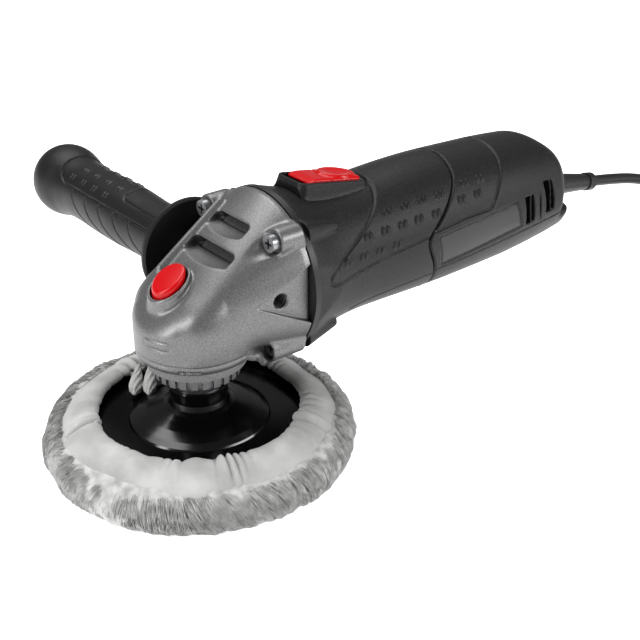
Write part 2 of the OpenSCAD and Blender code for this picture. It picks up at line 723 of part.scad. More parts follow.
module on_exit(d = 0) {
    translate([rear_x, 0, exit_z]) rotate([0, 90 + relief_lean, 0]) translate([0, 0, d]) children();
}
module strain_relief() color("#1a1a1b") {
    on_exit(-8) cylinder(r = 7.1, h = 9);
    on_exit(-8) cylinder(r = 9, h = 3);
    on_exit() cylinder(r1 = 7.1, r2 = 4.7, h = relief_l - 5);
    on_exit(relief_l - 5) cylinder(r = 5.3, h = 5);
}
module cord_clamp() color("#3a3a3c") difference() {
    translate([rear_x - 30, -10, exit_z - 2]) cube([8, 20, 8]);
    translate([rear_x - 31, 0, exit_z + 1]) rotate([0, 90, 0]) cylinder(r = cord_d / 2, h = 12);
    at_clamp(-20) cylinder(r = 1.5, h = 40);
}
module clamp_screws() color("dimgray") at_clamp(exit_z - motor_z - 8) {
    cylinder(r = 1.4, h = 14);
    translate([0, 0, 14]) cylinder(r = 2.4, h = 1.6);
}
module power_cord() color("#1a1a1b") sweep(concat([relief_end], cord_points), cord_d / 2, 10);
module cord_coil() color("#1a1a1b") translate([coil_c[0], coil_c[1], 0])
    ring(coil_in, coil_out, coil_layers * cord_d);
module cord_tail() color("#1a1a1b") translate([plug_x, tail_y, cord_d / 2]) rotate([0, 90, 0])
    cylinder(r = cord_d / 2, h = coil_c[0] - plug_x - 12);
module plug_body() color("#1a1a1b") translate([plug_x, tail_y, 0]) union() {
    hull() {
        translate([-1, 0, cord_d / 2 + 0.6]) rotate([0, 90, 0]) cylinder(r = 3.8, h = 1, $fn = 24);
        translate([-24, 0, 8]) rotate([0, 90, 0]) cylinder(r = 7, h = 1, $fn = 32);
    }
    hull() for (y = [-1, 1]) {
        translate([-24, y * 3, plug_h / 2]) rotate([0, 90, 0]) cylinder(r = 7, h = 1, $fn = 32);
        translate([-24 - plug_l, y * (plug_w - plug_h) / 2, plug_h / 2]) rotate([0, 90, 0])
            cylinder(r = plug_h / 2, h = plug_l - 10, $fn = 32);
    }
}
module plug_pins() color("lightgray") for (y = [-9.5, 9.5])
    translate([plug_x - 24 - plug_l - 19, tail_y + y, plug_h / 2]) rotate([0, 90, 0])
        cylinder(r = 2.4, h = 19);

// ---------- Side handle ----------

module on_handle(y = 0) {
    translate([handle_x, y, motor_z]) rotate([-90, 0, 0]) children();
}
grip_y = guard_y + 1.5;
module handle_stud() color("lightgray") {
    on_handle(head_w / 2 - side_hole_l + 2) cylinder(r = side_hole_r - 0.05, h = side_hole_l - 1);
    on_handle(head_w / 2 + 1) cylinder(r = 8, h = guard_y - 1.5 - head_w / 2 - 1);
    on_handle(guard_y - 1.5) cylinder(r = 5, h = 28);
}
module handle_guard() color("black") on_handle(guard_y - 1.5) difference() {
    rotate_extrude() polygon([[5, 0], [guard_d / 2 - 1, 0], [guard_d / 2, 1], [guard_d / 2, 2.4],
        [guard_d / 2 - 0.6, 3], [5, 3]]);
    translate([0, 0, -eps]) cylinder(r = 5, h = 5);
}
module handle_grip() color("#2f2f31") on_handle(grip_y) difference() {
    l = handle_end - grip_y;
    rotate_extrude() polygon([[0, 0], [grip_d / 2 - 1, 0], [grip_d / 2 - 0.8, 0.25 * l],
        [grip_d / 2 + 0.2, 0.4 * l], [grip_d / 2 - 0.4, 0.62 * l], [grip_d / 2, 0.72 * l],
        [bulb_d / 2 - 2.1, 0.795 * l], [bulb_d / 2, 0.85 * l], [bulb_d / 2 - 0.7, 0.89 * l],
        [bulb_d / 2 - 2.2, 0.92 * l], [bulb_d / 2 - 4.8, 0.95 * l],
        [bulb_d / 2 - 7.6, 0.973 * l], [bulb_d / 2 - 12, 0.993 * l], [0, l]]);
    translate([0, 0, -eps]) cylinder(r = 5, h = 26.5 + eps);
}

// ---------- Disc and bonnet ----------

module backing_disc() color("#111112") difference() {
    rotate_extrude() polygon([[0, disc_z], [disc_r, disc_z], [disc_r, disc_top - 1],
        [disc_r - 1, disc_top], [dome_d / 2 + 0.6, disc_top], [dome_d / 2, disc_top + 0.8],
        [dome_d / 2 - 3, disc_top + 2.4], [dome_d / 2 - 8, disc_top + 4.6],
        [dome_d / 2 - 13, disc_top + 6.3], [neck_d / 2 + 3, disc_top + dome_h],
        [neck_d / 2 + 0.8, disc_top + dome_h + 1.4], [neck_d / 2, disc_top + dome_h + 4],
        [neck_d / 2, neck_top - 0.6], [neck_d / 2 - 0.6, neck_top], [0, neck_top]]);
    translate([0, 0, disc_z + 3]) cylinder(r = thread_d / 2 + 3.4, h = neck_top);
}
module disc_insert() color("lightgray") translate([0, 0, disc_z + 3]) difference() {
    cylinder(r = thread_d / 2 + 3.4, h = neck_top - disc_z - 3);
    translate([0, 0, 2]) cylinder(r = thread_d / 2, h = neck_top);
}
module foam_pad() color("dimgray") translate([0, 0, foam_z]) cylinder(r = disc_r - 1.5, h = foam_t);
module wool_bonnet() color("whitesmoke") rotate_extrude() polygon(concat([[0, 0]],
    arc([bonnet_r - hem_z / 2, hem_z / 2], hem_z / 2, -90, 0, 6),
    arc([bonnet_r - hem_z / 2, hem_z / 2], hem_z / 2, 15, 75, 4),
    [[disc_r + seat_gap + 1.6, hem_z], [disc_r + seat_gap, hem_z], [disc_r + seat_gap, foam_z],
    [0, foam_z]]));
module bonnet_hem() color("lightgray") difference() {
    rotate_extrude() polygon(concat([[hem_in, hem_z]],
        arc([hem_in + hem_h / 2 + 1, hem_z + hem_h / 2], hem_h / 2 + 0.9, 200, 100, 5),
        arc([hem_in + hem_h / 2 + 4, hem_z + 0.1], hem_h - 0.1, 85, 20, 4),
        [[hem_in + hem_w, hem_z]]));
    string_ring(0.2);
    string_lead(0.3);
}
string_rho = hem_in + 4.2;
string_z = hem_z + 3.4;
string_turns = [92.5, 101.5];
module string_ring(gap) {
    translate([0, 0, string_z]) rotate_extrude() translate([string_rho, 0])
        circle(r = string_d / 2 + gap, $fn = 24);
}
module string_lead(gap) {
    for (a = string_turns) rotate(a) translate([string_rho - 6, 0, string_z]) rotate([0, 90, 0])
        cylinder(r = 1.2 + gap, h = 6);
}
module drawstring() color("white") {
    string_ring(0);
    string_lead(0);
}
module tuft(angle, turn) {
    rotate(angle) translate([string_rho - 7.4, 0, string_z]) rotate([0, -85, turn])
        rotate_extrude() polygon([[0, -1], [1.2, 0], [2.4, 3], [2.9, 8], [2.6, 12], [1.6, 14.5], [0, 15]]);
}
module string_ends() color("whitesmoke") {
    tuft(string_turns[0], -33.5);
    tuft(string_turns[1], -58.5);
}

gear_head();
bearing_cover();
head_screws();
spindle_bearing_outer();
spindle_bush();
spindle();
spindle_bearing_inner();
spindle_clip();
crown_gear();
lock_button();
lock_pin();
lock_spring();
baffle_plate();
motor_housing();
rear_housing();
rear_screws();
stator_core();
field_coils();
armature_shaft();
armature_core();
armature_coils();
commutator();
fan();
pinion();
pinion_nut();
front_bearing_outer();
front_bearing_inner();
rear_bearing_outer();
rear_bearing_inner();
bearing_cup();
motor_bracket();
brush_holders();
brush_near();
brush_far();
switch_bezel();
switch_slider();
switch_rod();
switch_module();
capacitor();
cord_clamp();
clamp_screws();
strain_relief();
power_cord();
cord_coil();
cord_tail();
plug_body();
plug_pins();
handle_stud();
handle_guard();
handle_grip();
label_plates();
backing_disc();
disc_insert();
foam_pad();
wool_bonnet();
bonnet_hem();
drawstring();
string_ends();
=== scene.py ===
import math

import bpy
import numpy as np
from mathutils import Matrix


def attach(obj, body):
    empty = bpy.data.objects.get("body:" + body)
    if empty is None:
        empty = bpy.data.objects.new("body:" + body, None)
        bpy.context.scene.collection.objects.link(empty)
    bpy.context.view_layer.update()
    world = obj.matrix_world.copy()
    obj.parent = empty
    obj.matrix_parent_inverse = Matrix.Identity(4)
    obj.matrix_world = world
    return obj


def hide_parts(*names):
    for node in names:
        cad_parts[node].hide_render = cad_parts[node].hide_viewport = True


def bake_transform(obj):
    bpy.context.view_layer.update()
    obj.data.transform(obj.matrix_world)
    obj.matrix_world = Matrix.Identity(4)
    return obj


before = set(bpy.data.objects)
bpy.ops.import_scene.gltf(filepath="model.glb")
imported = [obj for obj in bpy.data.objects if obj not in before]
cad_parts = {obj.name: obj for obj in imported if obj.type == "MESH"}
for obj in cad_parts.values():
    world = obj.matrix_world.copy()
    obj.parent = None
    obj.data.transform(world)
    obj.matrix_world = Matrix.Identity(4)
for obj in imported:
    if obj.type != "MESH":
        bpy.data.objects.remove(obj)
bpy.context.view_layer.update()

import openvdb
from mathutils import Vector

MM = 0.001

# ---------- Camera ----------
# A long lens in front of the head, on its left and above it; heights and distances are in mm
# and turned to metres by MM.
CAMERA_AT = (-255.5, -405.1, 321.3)
CAMERA_AZIMUTH = -39.1
CAMERA_DROP = 27.81
LENS = 66.2


def put(name, data):
    """A new object of that name in the scene."""
    piece = bpy.data.objects.new(name, data)
    bpy.context.scene.collection.objects.link(piece)
    return piece


camera = put("camera", bpy.data.cameras.new("camera"))
camera.location = Vector(CAMERA_AT) * MM
camera.rotation_euler = (math.radians(90 - CAMERA_DROP), 0, math.radians(CAMERA_AZIMUTH))
camera.data.sensor_width = 36
camera.data.lens = LENS
camera.data.clip_start = 0.01
bpy.context.scene.camera = camera


# ---------- Floor and light ----------
# A pale seamless floor that fades into a pale room, with a large softbox overhead and two long
# ones, on the left and at the front right, that draw a bright line along the barrel.
def linear(hex_colour):
    """An sRGB hex colour as linear red, green, blue and alpha."""
    values = [int(hex_colour[i:i + 2], 16) / 255 for i in (1, 3, 5)]
    return [v / 12.92 if v <= 0.04045 else ((v + 0.055) / 1.055) ** 2.4 for v in values] + [1]


def add(tree, kind, links=(), **settings):
    """A node of a kind with its settings; links are (socket, source socket) pairs into it."""
    node = tree.nodes.new(kind)
    for key, value in settings.items():
        if hasattr(node, key):
            setattr(node, key, value)
        else:
            node.inputs[key.replace("_", " ").title()].default_value = value
    for socket, source in links:
        tree.links.new(source, node.inputs[socket])
    return node


def new_material(name, colour, roughness, metallic=0.0):
    """A material with its shader's plain values set, its node tree and its shader."""
    material = bpy.data.materials.new(name)
    material.use_nodes = True
    shader = material.node_tree.nodes["Principled BSDF"]
    shader.inputs["Base Color"].default_value = linear(colour)
    shader.inputs["Roughness"].default_value = roughness
    shader.inputs["Metallic"].default_value = metallic
    return material, material.node_tree, shader


FLOOR_SIZE = 6.0
FLOOR_DROP = 0.0002
FLOOR_GLOW = 0.62
ROOM_LIGHT = 0.26

floor_mesh = bpy.data.meshes.new("floor")
half = FLOOR_SIZE / 2
floor_mesh.from_pydata([(-half, -half, 0), (half, -half, 0), (half, half, 0), (-half, half, 0)],
                       [], [(0, 1, 2, 3)])
floor = put("floor", floor_mesh)
floor.location.z = -FLOOR_DROP
floor_paint, _, floor_shader = new_material("matt_white_sweep", "#f4f4f4", 0.9)
# It gives off a little light of its own, so that the sweep stays evenly white.
floor_shader.inputs["Emission Color"].default_value = linear("#ffffff")
floor_shader.inputs["Emission Strength"].default_value = FLOOR_GLOW
floor_mesh.materials.append(floor_paint)

room = bpy.data.worlds.new("pale_room")
room.use_nodes = True
sky = room.node_tree.nodes["Background"]
sky.inputs["Color"].default_value = linear("#ffffff")
sky.inputs["Strength"].default_value = ROOM_LIGHT
bpy.context.scene.world = room
bpy.context.scene.view_settings.view_transform = "Standard"
bpy.context.scene.view_settings.look = "Medium High Contrast"


def softbox(name, at, aim, size, power):
    """A rectangular lamp at a place in metres, aimed at another; power is in watts."""
    lamp = bpy.data.lights.new(name, "AREA")
    lamp.shape = "RECTANGLE"
    lamp.size, lamp.size_y = size
    lamp.energy = power
    box = put(name, lamp)
    box.location = at
    box.rotation_euler = (Vector(aim) - Vector(at)).to_track_quat("-Z", "Y").to_euler()


softbox("overhead", (0.15, 0.5, 1.3), (0.1, 0, 0.08), (1.3, 0.8), 15)
softbox("left_strip", (-0.9, 0.1, 0.5), (0.0, 0, 0.06), (0.25, 0.9), 7)
softbox("front_right_strip", (0.5, -0.8, 0.5), (0.1, 0, 0.06), (0.9, 0.25), 7)


# ---------- Mains lead ----------
# A round black PVC lead that leaves the sleeve straight, sags to the bench and is wound for
# storage in a flat coil of four layers, with its tail and plug beside it.
CORD_D = 6.5
RELIEF_END = (278.18, 0, 70.37)
CORD_POINTS = [(300, 0, 66.5), (318, 0, 62.5), (334, 0, 57.5), (348, 0, 51.5), (361, 0, 45),
               (374, -1.5, 39), (387, -4.5, 34.5), (399, -7.5, 31.5), (410, -9.5, 28.5)]
COIL_CENTRE = (415, -45)
COIL_D = 78
COIL_LAYERS = 4
# Share of a turn over which the lead drops from one layer to the next.
STEP_DOWN = 0.4
PLUG_X = 374
TAIL_Y = COIL_CENTRE[1] - COIL_D / 2 - CORD_D


def smooth_path(points, steps):
    """Catmull-Rom points through a given list, with steps points to each stretch."""
    p = [np.array(q, float) for q in points]
    p = [2 * p[0] - p[1]] + p + [2 * p[-1] - p[-2]]
    out = []
    for a, b, c, d in zip(p, p[1:], p[2:], p[3:]):
        for t in np.arange(steps) / steps:
            out.append(0.5 * (2 * b + (c - a) * t + (2 * a - 5 * b + 4 * c - d) * t * t
                              + (3 * b - a - 3 * c + d) * t ** 3))
    return out + [p[-2]]


def coil_route():
    """Two turns to a layer, from the top layer to the bottom one, clockwise from above."""
    inner, outer = COIL_D / 2 - CORD_D, COIL_D / 2 + CORD_D
    steps, out, turn = 36, [], 0.0
    lead_x, lead_y, _ = CORD_POINTS[-1]
    start = math.degrees(math.atan2(lead_y - COIL_CENTRE[1], lead_x - COIL_CENTRE[0])) - 14
    last = 2 + ((start + 90) / 360 - (COIL_LAYERS - 1) * (2 + STEP_DOWN)) % 1

    def at(r, t, z):
        a = math.radians(start - 360 * t)
        return np.array((COIL_CENTRE[0] + r * math.cos(a), COIL_CENTRE[1] + r * math.sin(a), z))

    for layer in range(COIL_LAYERS - 1, -1, -1):
        z = CORD_D * (layer + 0.5)
        going_out = (COIL_LAYERS - 1 - layer) % 2 == 0
        length = last if layer == 0 else 2
        for i in range(int(length * steps)):
            t = min(i / steps, 2)
            radius = inner + CORD_D * t if going_out else outer - CORD_D * t
            out.append(at(radius, turn + i / steps, z))
        turn += length
        radius = outer if going_out else inner
        if layer:
            for i in range(int(STEP_DOWN * steps)):
                f = i / (STEP_DOWN * steps)
                drop = CORD_D * f * f * (3 - 2 * f)
                out.append(at(radius, turn + STEP_DOWN * f, z - drop))
            turn += STEP_DOWN
    return out


free_run = smooth_path([RELIEF_END] + CORD_POINTS, 6)
wound = coil_route()
tail_run = [np.array((x, TAIL_Y, CORD_D / 2)) for x in np.linspace(COIL_CENTRE[0] - 4, PLUG_X, 8)]
route = free_run + wound + tail_run

cord_curve = bpy.data.curves.new("mains_lead", "CURVE")
cord_curve.dimensions = "3D"
cord_curve.bevel_depth = CORD_D / 2 * MM
cord_curve.bevel_resolution = 3
cord_curve.use_fill_caps = True
spline = cord_curve.splines.new("POLY")
spline.points.add(len(route) - 1)
for point, place in zip(spline.points, route):
    point.co = (*(place * MM), 1)
mains_lead = put("mains_lead", cord_curve)

rubber, tree, shader = new_material("black_pvc", "#19191b", 0.42)
# PVC drawn through a die: a soft sheen with the faint ripple of the cores under it.
ripple = add(tree, "ShaderNodeTexNoise", scale=120.0, detail=2.0)
bump = add(tree, "ShaderNodeBump", [("Height", ripple.outputs["Fac"])],
           strength=0.12, distance=0.4 * MM)
tree.links.new(bump.outputs["Normal"], shader.inputs["Normal"])
cord_curve.materials.append(rubber)

# ---------- Plug ----------
# A mains plug moulded on to the lead in one soft PVC body, with a waist for the fingers, grip
# ribs on each side and a tapered sleeve over the lead. Its plated pins are pressed in.
PLUG_MIDDLE, PLUG_HALF, PLUG_Z = 340, (23, 2.4, 8.8), 9
PLUG_SIDE, PLUG_SWELL = 7.5, 8
WAIST_FROM, WAIST_RUN = 14, 26
RIB_X, RIB_PITCH, RIB_OUT, RIB_R = 334, 5, 17.6, 1.3
SLEEVE_ENDS = (PLUG_X - 1, 0, 4.2), (352, 0, 8.6)
PLUG_LOW, PLUG_HIGH, PLUG_STEP = (312, -113, -1), (379, -67, 19.5), 0.6


def grid(low, high, step):
    """Open coordinate axes in mm for a block of voxels."""
    axes = [np.arange(a, b + step, step, dtype=np.float32) for a, b in zip(low, high)]
    return np.meshgrid(*axes, indexing="ij", sparse=True)


def merge(a, b, k):
    """Union of two distance fields with a fillet of about k mm."""
    h = np.clip(0.5 + 0.5 * (b - a) / k, 0, 1)
    return b + (a - b) * h - k * h * (1 - h)


def cut(a, tool, k=0.4):
    """Field a with the tool's inside taken away, its edge rounded by about k mm."""
    return -merge(-a, tool, k)


def keep(a, b, k=0.4):
    """What two fields have in common, its edge rounded by about k mm."""
    return -merge(-a, -b, k)


def tube_between(x, y, z, a, b, ra, rb):
    """A round bar from a to b whose radius goes from ra to rb, with ball ends."""
    a, b = np.array(a, float), np.array(b, float)
    d = b - a
    t = np.clip(((x - a[0]) * d[0] + (y - a[1]) * d[1] + (z - a[2]) * d[2]) / d.dot(d), 0, 1)
    away = np.sqrt((x - a[0] - t * d[0]) ** 2 + (y - a[1] - t * d[1]) ** 2
                   + (z - a[2] - t * d[2]) ** 2)
    return away - (ra + (rb - ra) * t)


def bar(u, v, w, half, r):
    """A block of half sizes half round the origin of u, v, w, with edges rounded by r."""
    q = [np.abs(c) - h + r for c, h in zip((u, v, w), half)]
    outside = np.sqrt(sum(np.maximum(c, 0) ** 2 for c in q))
    return outside + np.minimum(np.maximum(np.maximum(q[0], q[1]), q[2]), 0) - r


def skin(name, field, low, step, material, body):
    """The zero surface of a field as a smooth mesh piece that rides on a body."""
    vdb = openvdb.FloatGrid(2.0)
    vdb.copyFromArray(np.ascontiguousarray(np.clip(field, -2, 2), dtype=np.float32))
    points, triangles, quads = vdb.convertToPolygons(isovalue=0.0, adaptivity=0.0)
    points = (points * step + np.array(low)) * MM
    mesh = bpy.data.meshes.new(name)
    faces = [tuple(f) for f in quads.tolist()] + [tuple(f) for f in triangles.tolist()]
    mesh.from_pydata(points.tolist(), [], faces)
    mesh.shade_smooth()
    mesh.materials.append(material)
    piece = put(name, mesh)
    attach(piece, body)
    return piece


x, y, z = grid(PLUG_LOW, PLUG_HIGH, PLUG_STEP)
v, w, back = y - TAIL_Y, z - PLUG_Z, PLUG_X - x
slim = np.clip((back - WAIST_FROM) / WAIST_RUN, 0, 1)
side = PLUG_SIDE + PLUG_SWELL * slim * slim * (3 - 2 * slim)
moulding = bar(x - PLUG_MIDDLE, np.maximum(np.abs(v) - side, 0), w, PLUG_HALF, 2.3)
sleeve = tube_between(x, v, z, *SLEEVE_ENDS, 3.9, 7.4)
plug_field = merge(moulding, sleeve, 5)
for rib in range(3):
    groove = np.sqrt((x - RIB_X - RIB_PITCH * rib) ** 2 + (np.abs(v) - RIB_OUT) ** 2) - RIB_R
    plug_field = cut(plug_field, groove, 0.8)
plug_field = np.maximum(plug_field, 0.4 - z)
plug = skin("plug", plug_field, PLUG_LOW, PLUG_STEP, rubber, "tool")
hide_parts("plug_body")

# ---------- Coil tie ----------
# A band of the same PVC, pushed shut round the turns on the side away from the tool. With it
# the lead is complete, so the lead is attached to the tool here.
TIE_T, TIE_W, TIE_GAP = 1.4, 9, 0.1
TIE_LOW, TIE_HIGH, TIE_STEP = (450, -58, -0.5), (472, -32, 30), 0.5
x, y, z = grid(TIE_LOW, TIE_HIGH, TIE_STEP)
ring_r = np.sqrt((x - COIL_CENTRE[0]) ** 2 + (y - COIL_CENTRE[1]) ** 2)
wide, tall = 1.5 * CORD_D + TIE_T - 0.2, COIL_LAYERS * CORD_D / 2 + 0.7
from_turns, from_middle = ring_r - COIL_D / 2, z - tall - TIE_GAP
outer = bar(from_turns, 0, from_middle, (wide, TIE_W, tall), 2.6)
inner = bar(from_turns, 0, from_middle, (wide - TIE_T, TIE_W, tall - TIE_T), 1.6)
tie_field = keep(cut(outer, inner), np.abs(y - COIL_CENTRE[1]) - TIE_W / 2)
tie = skin("coil_tie", tie_field, TIE_LOW, TIE_STEP, rubber, "tool")

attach(mains_lead, "tool")
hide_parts("power_cord", "cord_coil", "cord_tail")

# ---------- Gear head ----------
# A zinc-aluminium die casting with a silver-grey metallic coat: a round nose over the spindle
# that grows into the motor flange, two air scoops on its slope, and four screw lugs.
MOTOR_Z = 84.8
NOSE_R, NOSE_FOOT, NOSE_TOP = 28.2, 56, 89.5
FLANGE_X, FLANGE_R = 39.4, 39.5
FLAT_Y = 33.9
SLOPE_Z, SLOPE = 99.3, 0.687
SCREW_OUT = 26
BUTTON_X, BUTTON_R, BUTTON_FACE = -12.5, 8.2, 96.2
BUTTON_TILT = math.radians(30)
POST_R, POST_MOUTH_Z = 9.9, 93.4
HANDLE_X = 24.8
LUG_R, LUG_HOLLOW_R, SCREW_BORE_R, SCREW_SEAT_X = 6.2, 4.8, 2.4, 27
FACET_START, FACET_SPREAD = 12, 0.53
THREAD_R, THREAD_PITCH = 3.6, 1.75
BADGE_TURN, BADGE_Z, BADGE_HALF = 162, 70.2, (7.2, 2.1, 9)
PARTING_Z, SLOT_Z = 60.8, 58
HEAD_LOW, HEAD_HIGH, HEAD_STEP = (-30, -41, 44), (41, 41, 127), 0.5

x, y, z = grid(HEAD_LOW, HEAD_HIGH, HEAD_STEP)
rho = np.sqrt(x * x + y * y)
side = np.abs(y)

# Nose: a rounded drum, softer over the top than at its foot.
top_r, foot_r = 15.5, 3.5
dome = np.sqrt(np.maximum(rho - NOSE_R + top_r, 0) ** 2
               + np.maximum(z - NOSE_TOP + top_r, 0) ** 2)
foot = np.sqrt(np.maximum(rho - NOSE_R + foot_r, 0) ** 2
               + np.maximum(NOSE_FOOT + foot_r - z, 0) ** 2)
nose = np.maximum(dome - top_r, foot - foot_r)

# Neck: sections across X that go from the nose's outline to the flange's circle.
t = np.clip(x / FLANGE_X, 0, 1)
half_w = np.sqrt(np.maximum(NOSE_R ** 2 - np.minimum(x, 0) ** 2, 1)) + (FLANGE_R - NOSE_R) * t
crest = np.minimum(SLOPE_Z + SLOPE * x, MOTOR_Z + FLANGE_R)
keel = NOSE_FOOT + (MOTOR_Z - FLANGE_R - NOSE_FOOT) * t
middle, half_h = (crest + keel) / 2, (crest - keel) / 2
power = 2.7 - 0.7 * t
section = ((side / half_w) ** power + (np.abs(z - middle) / half_h) ** power) ** (1 / power)
neck = (section - 1) * np.minimum(half_w, half_h)
head = merge(nose, keep(neck, -16 - x, 3), 5)
head = keep(head, (z - SLOPE_Z - 0.4 - 0.83 * x) / 1.3, 5)
head = keep(head, x - FLANGE_X, 0.8)

# Screw lugs with a hollow in front of each screw's head.
lug_y, lug_z = side - SCREW_OUT, np.abs(z - MOTOR_Z) - SCREW_OUT
from_screw = np.sqrt(lug_y ** 2 + lug_z ** 2)
lug_start = np.where(z > MOTOR_Z, 26.8, 21)
lug = keep(from_screw - LUG_R, np.maximum(lug_start - x, x - FLANGE_X), 0.8)
head = merge(head, lug, 2.2)
widening = np.where(z > MOTOR_Z, 0.22, 0)
hollow_r = LUG_HOLLOW_R + np.maximum(SCREW_SEAT_X - x, 0) * widening
hollow = keep(from_screw - hollow_r, np.maximum(x - SCREW_SEAT_X, 10 - x), 0.6)
head = cut(head, hollow, 1.2)
head = cut(head, np.maximum(from_screw - SCREW_BORE_R, 20 - x), 0.2)

# Flank flats: a three-cornered facet round each handle hole, with a crisp edge.
along = x - FACET_START
wedge = np.maximum(np.abs(z - MOTOR_Z - 0.03 * along) - FACET_SPREAD * along, -along)
flat = FLAT_Y - 2.9 + 0.12 * along
head = cut(head, keep(flat - side, wedge * 0.85, 0.3), 0.4)
from_hole = np.sqrt((x - HANDLE_X) ** 2 + (z - MOTOR_Z) ** 2)
thread = THREAD_R + 0.35 * np.sin(2 * np.pi * y / THREAD_PITCH)
head = cut(head, np.maximum(from_hole - thread, 21 - side), 0.3)
countersink = 2.6 + np.maximum(side - FLAT_Y + 2.6, 0)
head = cut(head, np.maximum(from_hole - countersink, 24 - side), 0.3)

# Button post: stands upright from the slope with a slanted mouth.
post_r = np.sqrt((x - BUTTON_X) ** 2 + y * y)
mouth = (z - POST_MOUTH_Z) * math.cos(BUTTON_TILT) - (x - BUTTON_X) * math.sin(BUTTON_TILT)
post = keep(keep(post_r - POST_R, mouth, 0.7), 70 - z, 1)
head = merge(head, post, 1.6)
head = cut(head, keep(post_r - BUTTON_R - 0.3, -mouth - 4.0, 0.2), 0.4)
head = cut(head, keep(post_r - 11.5, 0.6 - mouth, 0.3), 0.6)

# Air scoops, drawn in the slope's own plane: along runs up the slope, out stands off it.
lean = math.atan(SLOPE)
along = x * math.cos(lean) + (z - SLOPE_Z) * math.sin(lean)
out = -x * math.sin(lean) + (z - SLOPE_Z) * math.cos(lean)


def scoop(field, start, length, low_y, high_y, depth):
    """A ramp that deepens up the slope and ends in a dark slot under an overhanging lip."""
    mid, half_y = (low_y + high_y) / 2, (high_y - low_y) / 2
    pull = 2.6 * ((y - mid) / half_y) ** 2
    reach = along - start - pull * np.clip((start + length - along) / length, 0, 1)
    ramp = -np.clip(reach / length, 0, 1) ** 0.8 * depth
    outline = bar(reach - length / 2, y - mid, 0, (length / 2, half_y, 9), 3.2)
    bowl = keep(outline, ramp - out, 1.2)
    field = cut(field, bowl, 0.7)
    slot = bar(along - start - length - 1.4, y - mid + 0.5, out + depth - 2.3,
               (4.2, half_y - 1.5, 2.6), 0.8)
    return cut(field, slot, 0.3)


head = scoop(head, 1.0, 12.4, -17.2, 14.2, 7.6)
head = scoop(head, 17.2, 11.4, -12.4, 13.4, 6.4)
rim = tube_between(x, y, z, (-7, 15.4, 93.6), (27, 15.8, 117.0), 1.6, 1.6)
head = merge(head, rim, 3.2)

# A blank badge let into the nose, and the fine line where the mould's halves met.
around = (np.degrees(np.arctan2(y, x)) + BADGE_TURN + 180) % 360 - 180
badge = np.abs(bar(np.radians(around) * NOSE_R, z - BADGE_Z, 0, BADGE_HALF, 1.0)) - 0.3
head = head + 0.4 * np.clip(1 - badge / 0.4, 0, 1) * (np.abs(rho - NOSE_R) < 3)
parting = np.abs(z - PARTING_Z) - 0.25
head = head + 0.25 * np.clip(1 - parting / 0.5, 0, 1) * (rho < NOSE_R + 3)

# A slot at the foot of the nose with three small pips in it.
slot_s = np.radians(around - 32) * NOSE_R
head = cut(head, bar(slot_s, z - SLOT_Z, rho - 28, (5.2, 1.1, 1.6), 0.7), 0.2)
for place in (-3, 0.6, 4):
    pip = np.sqrt((slot_s - place) ** 2 + (z - 57.8) ** 2 + (rho - 26.6) ** 2) - 1.2
    head = np.minimum(head, pip)

# Inside: the gear chamber in three steps, the spindle's bush, the armature's bearing and its
# recess, the lock's spring chamber and pin, and the mouth for the bearing cover.
radius_x = np.sqrt(y * y + (z - MOTOR_Z) ** 2)
for bore in (np.maximum(rho - 20.1, z - 66.5),
             np.maximum(rho - 23.6, np.abs(z - 72) - 5.8),
             np.maximum(rho - 19.8, np.abs(z - 74) - 6.2),
             np.maximum(rho - 6.9, np.abs(z - 84) - 3.3),
             np.maximum(radius_x - 11.6, np.maximum(9 - x, x - 34)),
             np.maximum(radius_x - 14.05, 31.4 - x),
             np.maximum(post_r - 4.7, np.abs(z - 88) - 3.4),
             np.maximum(post_r - 2.7, np.abs(z - 86) - 6),
             np.maximum(rho - 27, z - NOSE_FOOT)):
    head = cut(head, bore, 0.2)


def roughened(tree, shader, scale, detail, strength, depth):
    """A fine unevenness over a surface: scale is in features per metre, depth in mm. Returns
    the place on the piece and the noise, for a tone that follows them."""
    spots = add(tree, "ShaderNodeTexCoord")
    noise = add(tree, "ShaderNodeTexNoise", [("Vector", spots.outputs["Object"])],
                scale=scale, detail=detail)
    bump = add(tree, "ShaderNodeBump", [("Height", noise.outputs["Fac"])],
               strength=strength, distance=depth * MM)
    tree.links.new(bump.outputs["Normal"], shader.inputs["Normal"])
    return spots, noise


# Metallic paint over the casting: fine bright flakes over a slight grain. Real flakes are too
# fine to show, so they are drawn about 0.4 mm wide.
paint, tree, shader = new_material("metallic_coat_on_die_casting", "#77787a", 0.4, 0.62)
spots, _ = roughened(tree, shader, 900.0, 2.0, 0.1, 0.2)
flakes = add(tree, "ShaderNodeTexNoise", [("Vector", spots.outputs["Object"])],
             scale=2600.0, detail=1.0)
speck = add(tree, "ShaderNodeValToRGB", [("Fac", flakes.outputs["Fac"])])
speck.color_ramp.elements[0].position, speck.color_ramp.elements[1].position = 0.36, 0.66
speck.color_ramp.elements[0].color = linear("#5f5f5f")
speck.color_ramp.elements[1].color = linear("#7c7c7c")
tree.links.new(speck.outputs["Color"], shader.inputs["Base Color"])

head_casting = skin("head_casting", head, HEAD_LOW, HEAD_STEP, paint, "tool")
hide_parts("gear_head")

# ---------- Motor and rear housings ----------
# Two glass-filled nylon shells with a fine spark-eroded grain, split along a swept seam; panel
# lines, grip dimples, vents and a recessed blank label are moulded in, never stuck on.
AXIS_Z, HOUSING_X, REAR_X, LIP_X, WALL = 84.5, 42.4, 229.3, 235.6, 2.6
GIRTH = 33.5
SHOULDER_X, SHOULDER_R, LIP_TOP = 213, 31.2, 75
RIDGE_Y, RIDGE_Z, RIDGE_END_X = 26, 26, 60
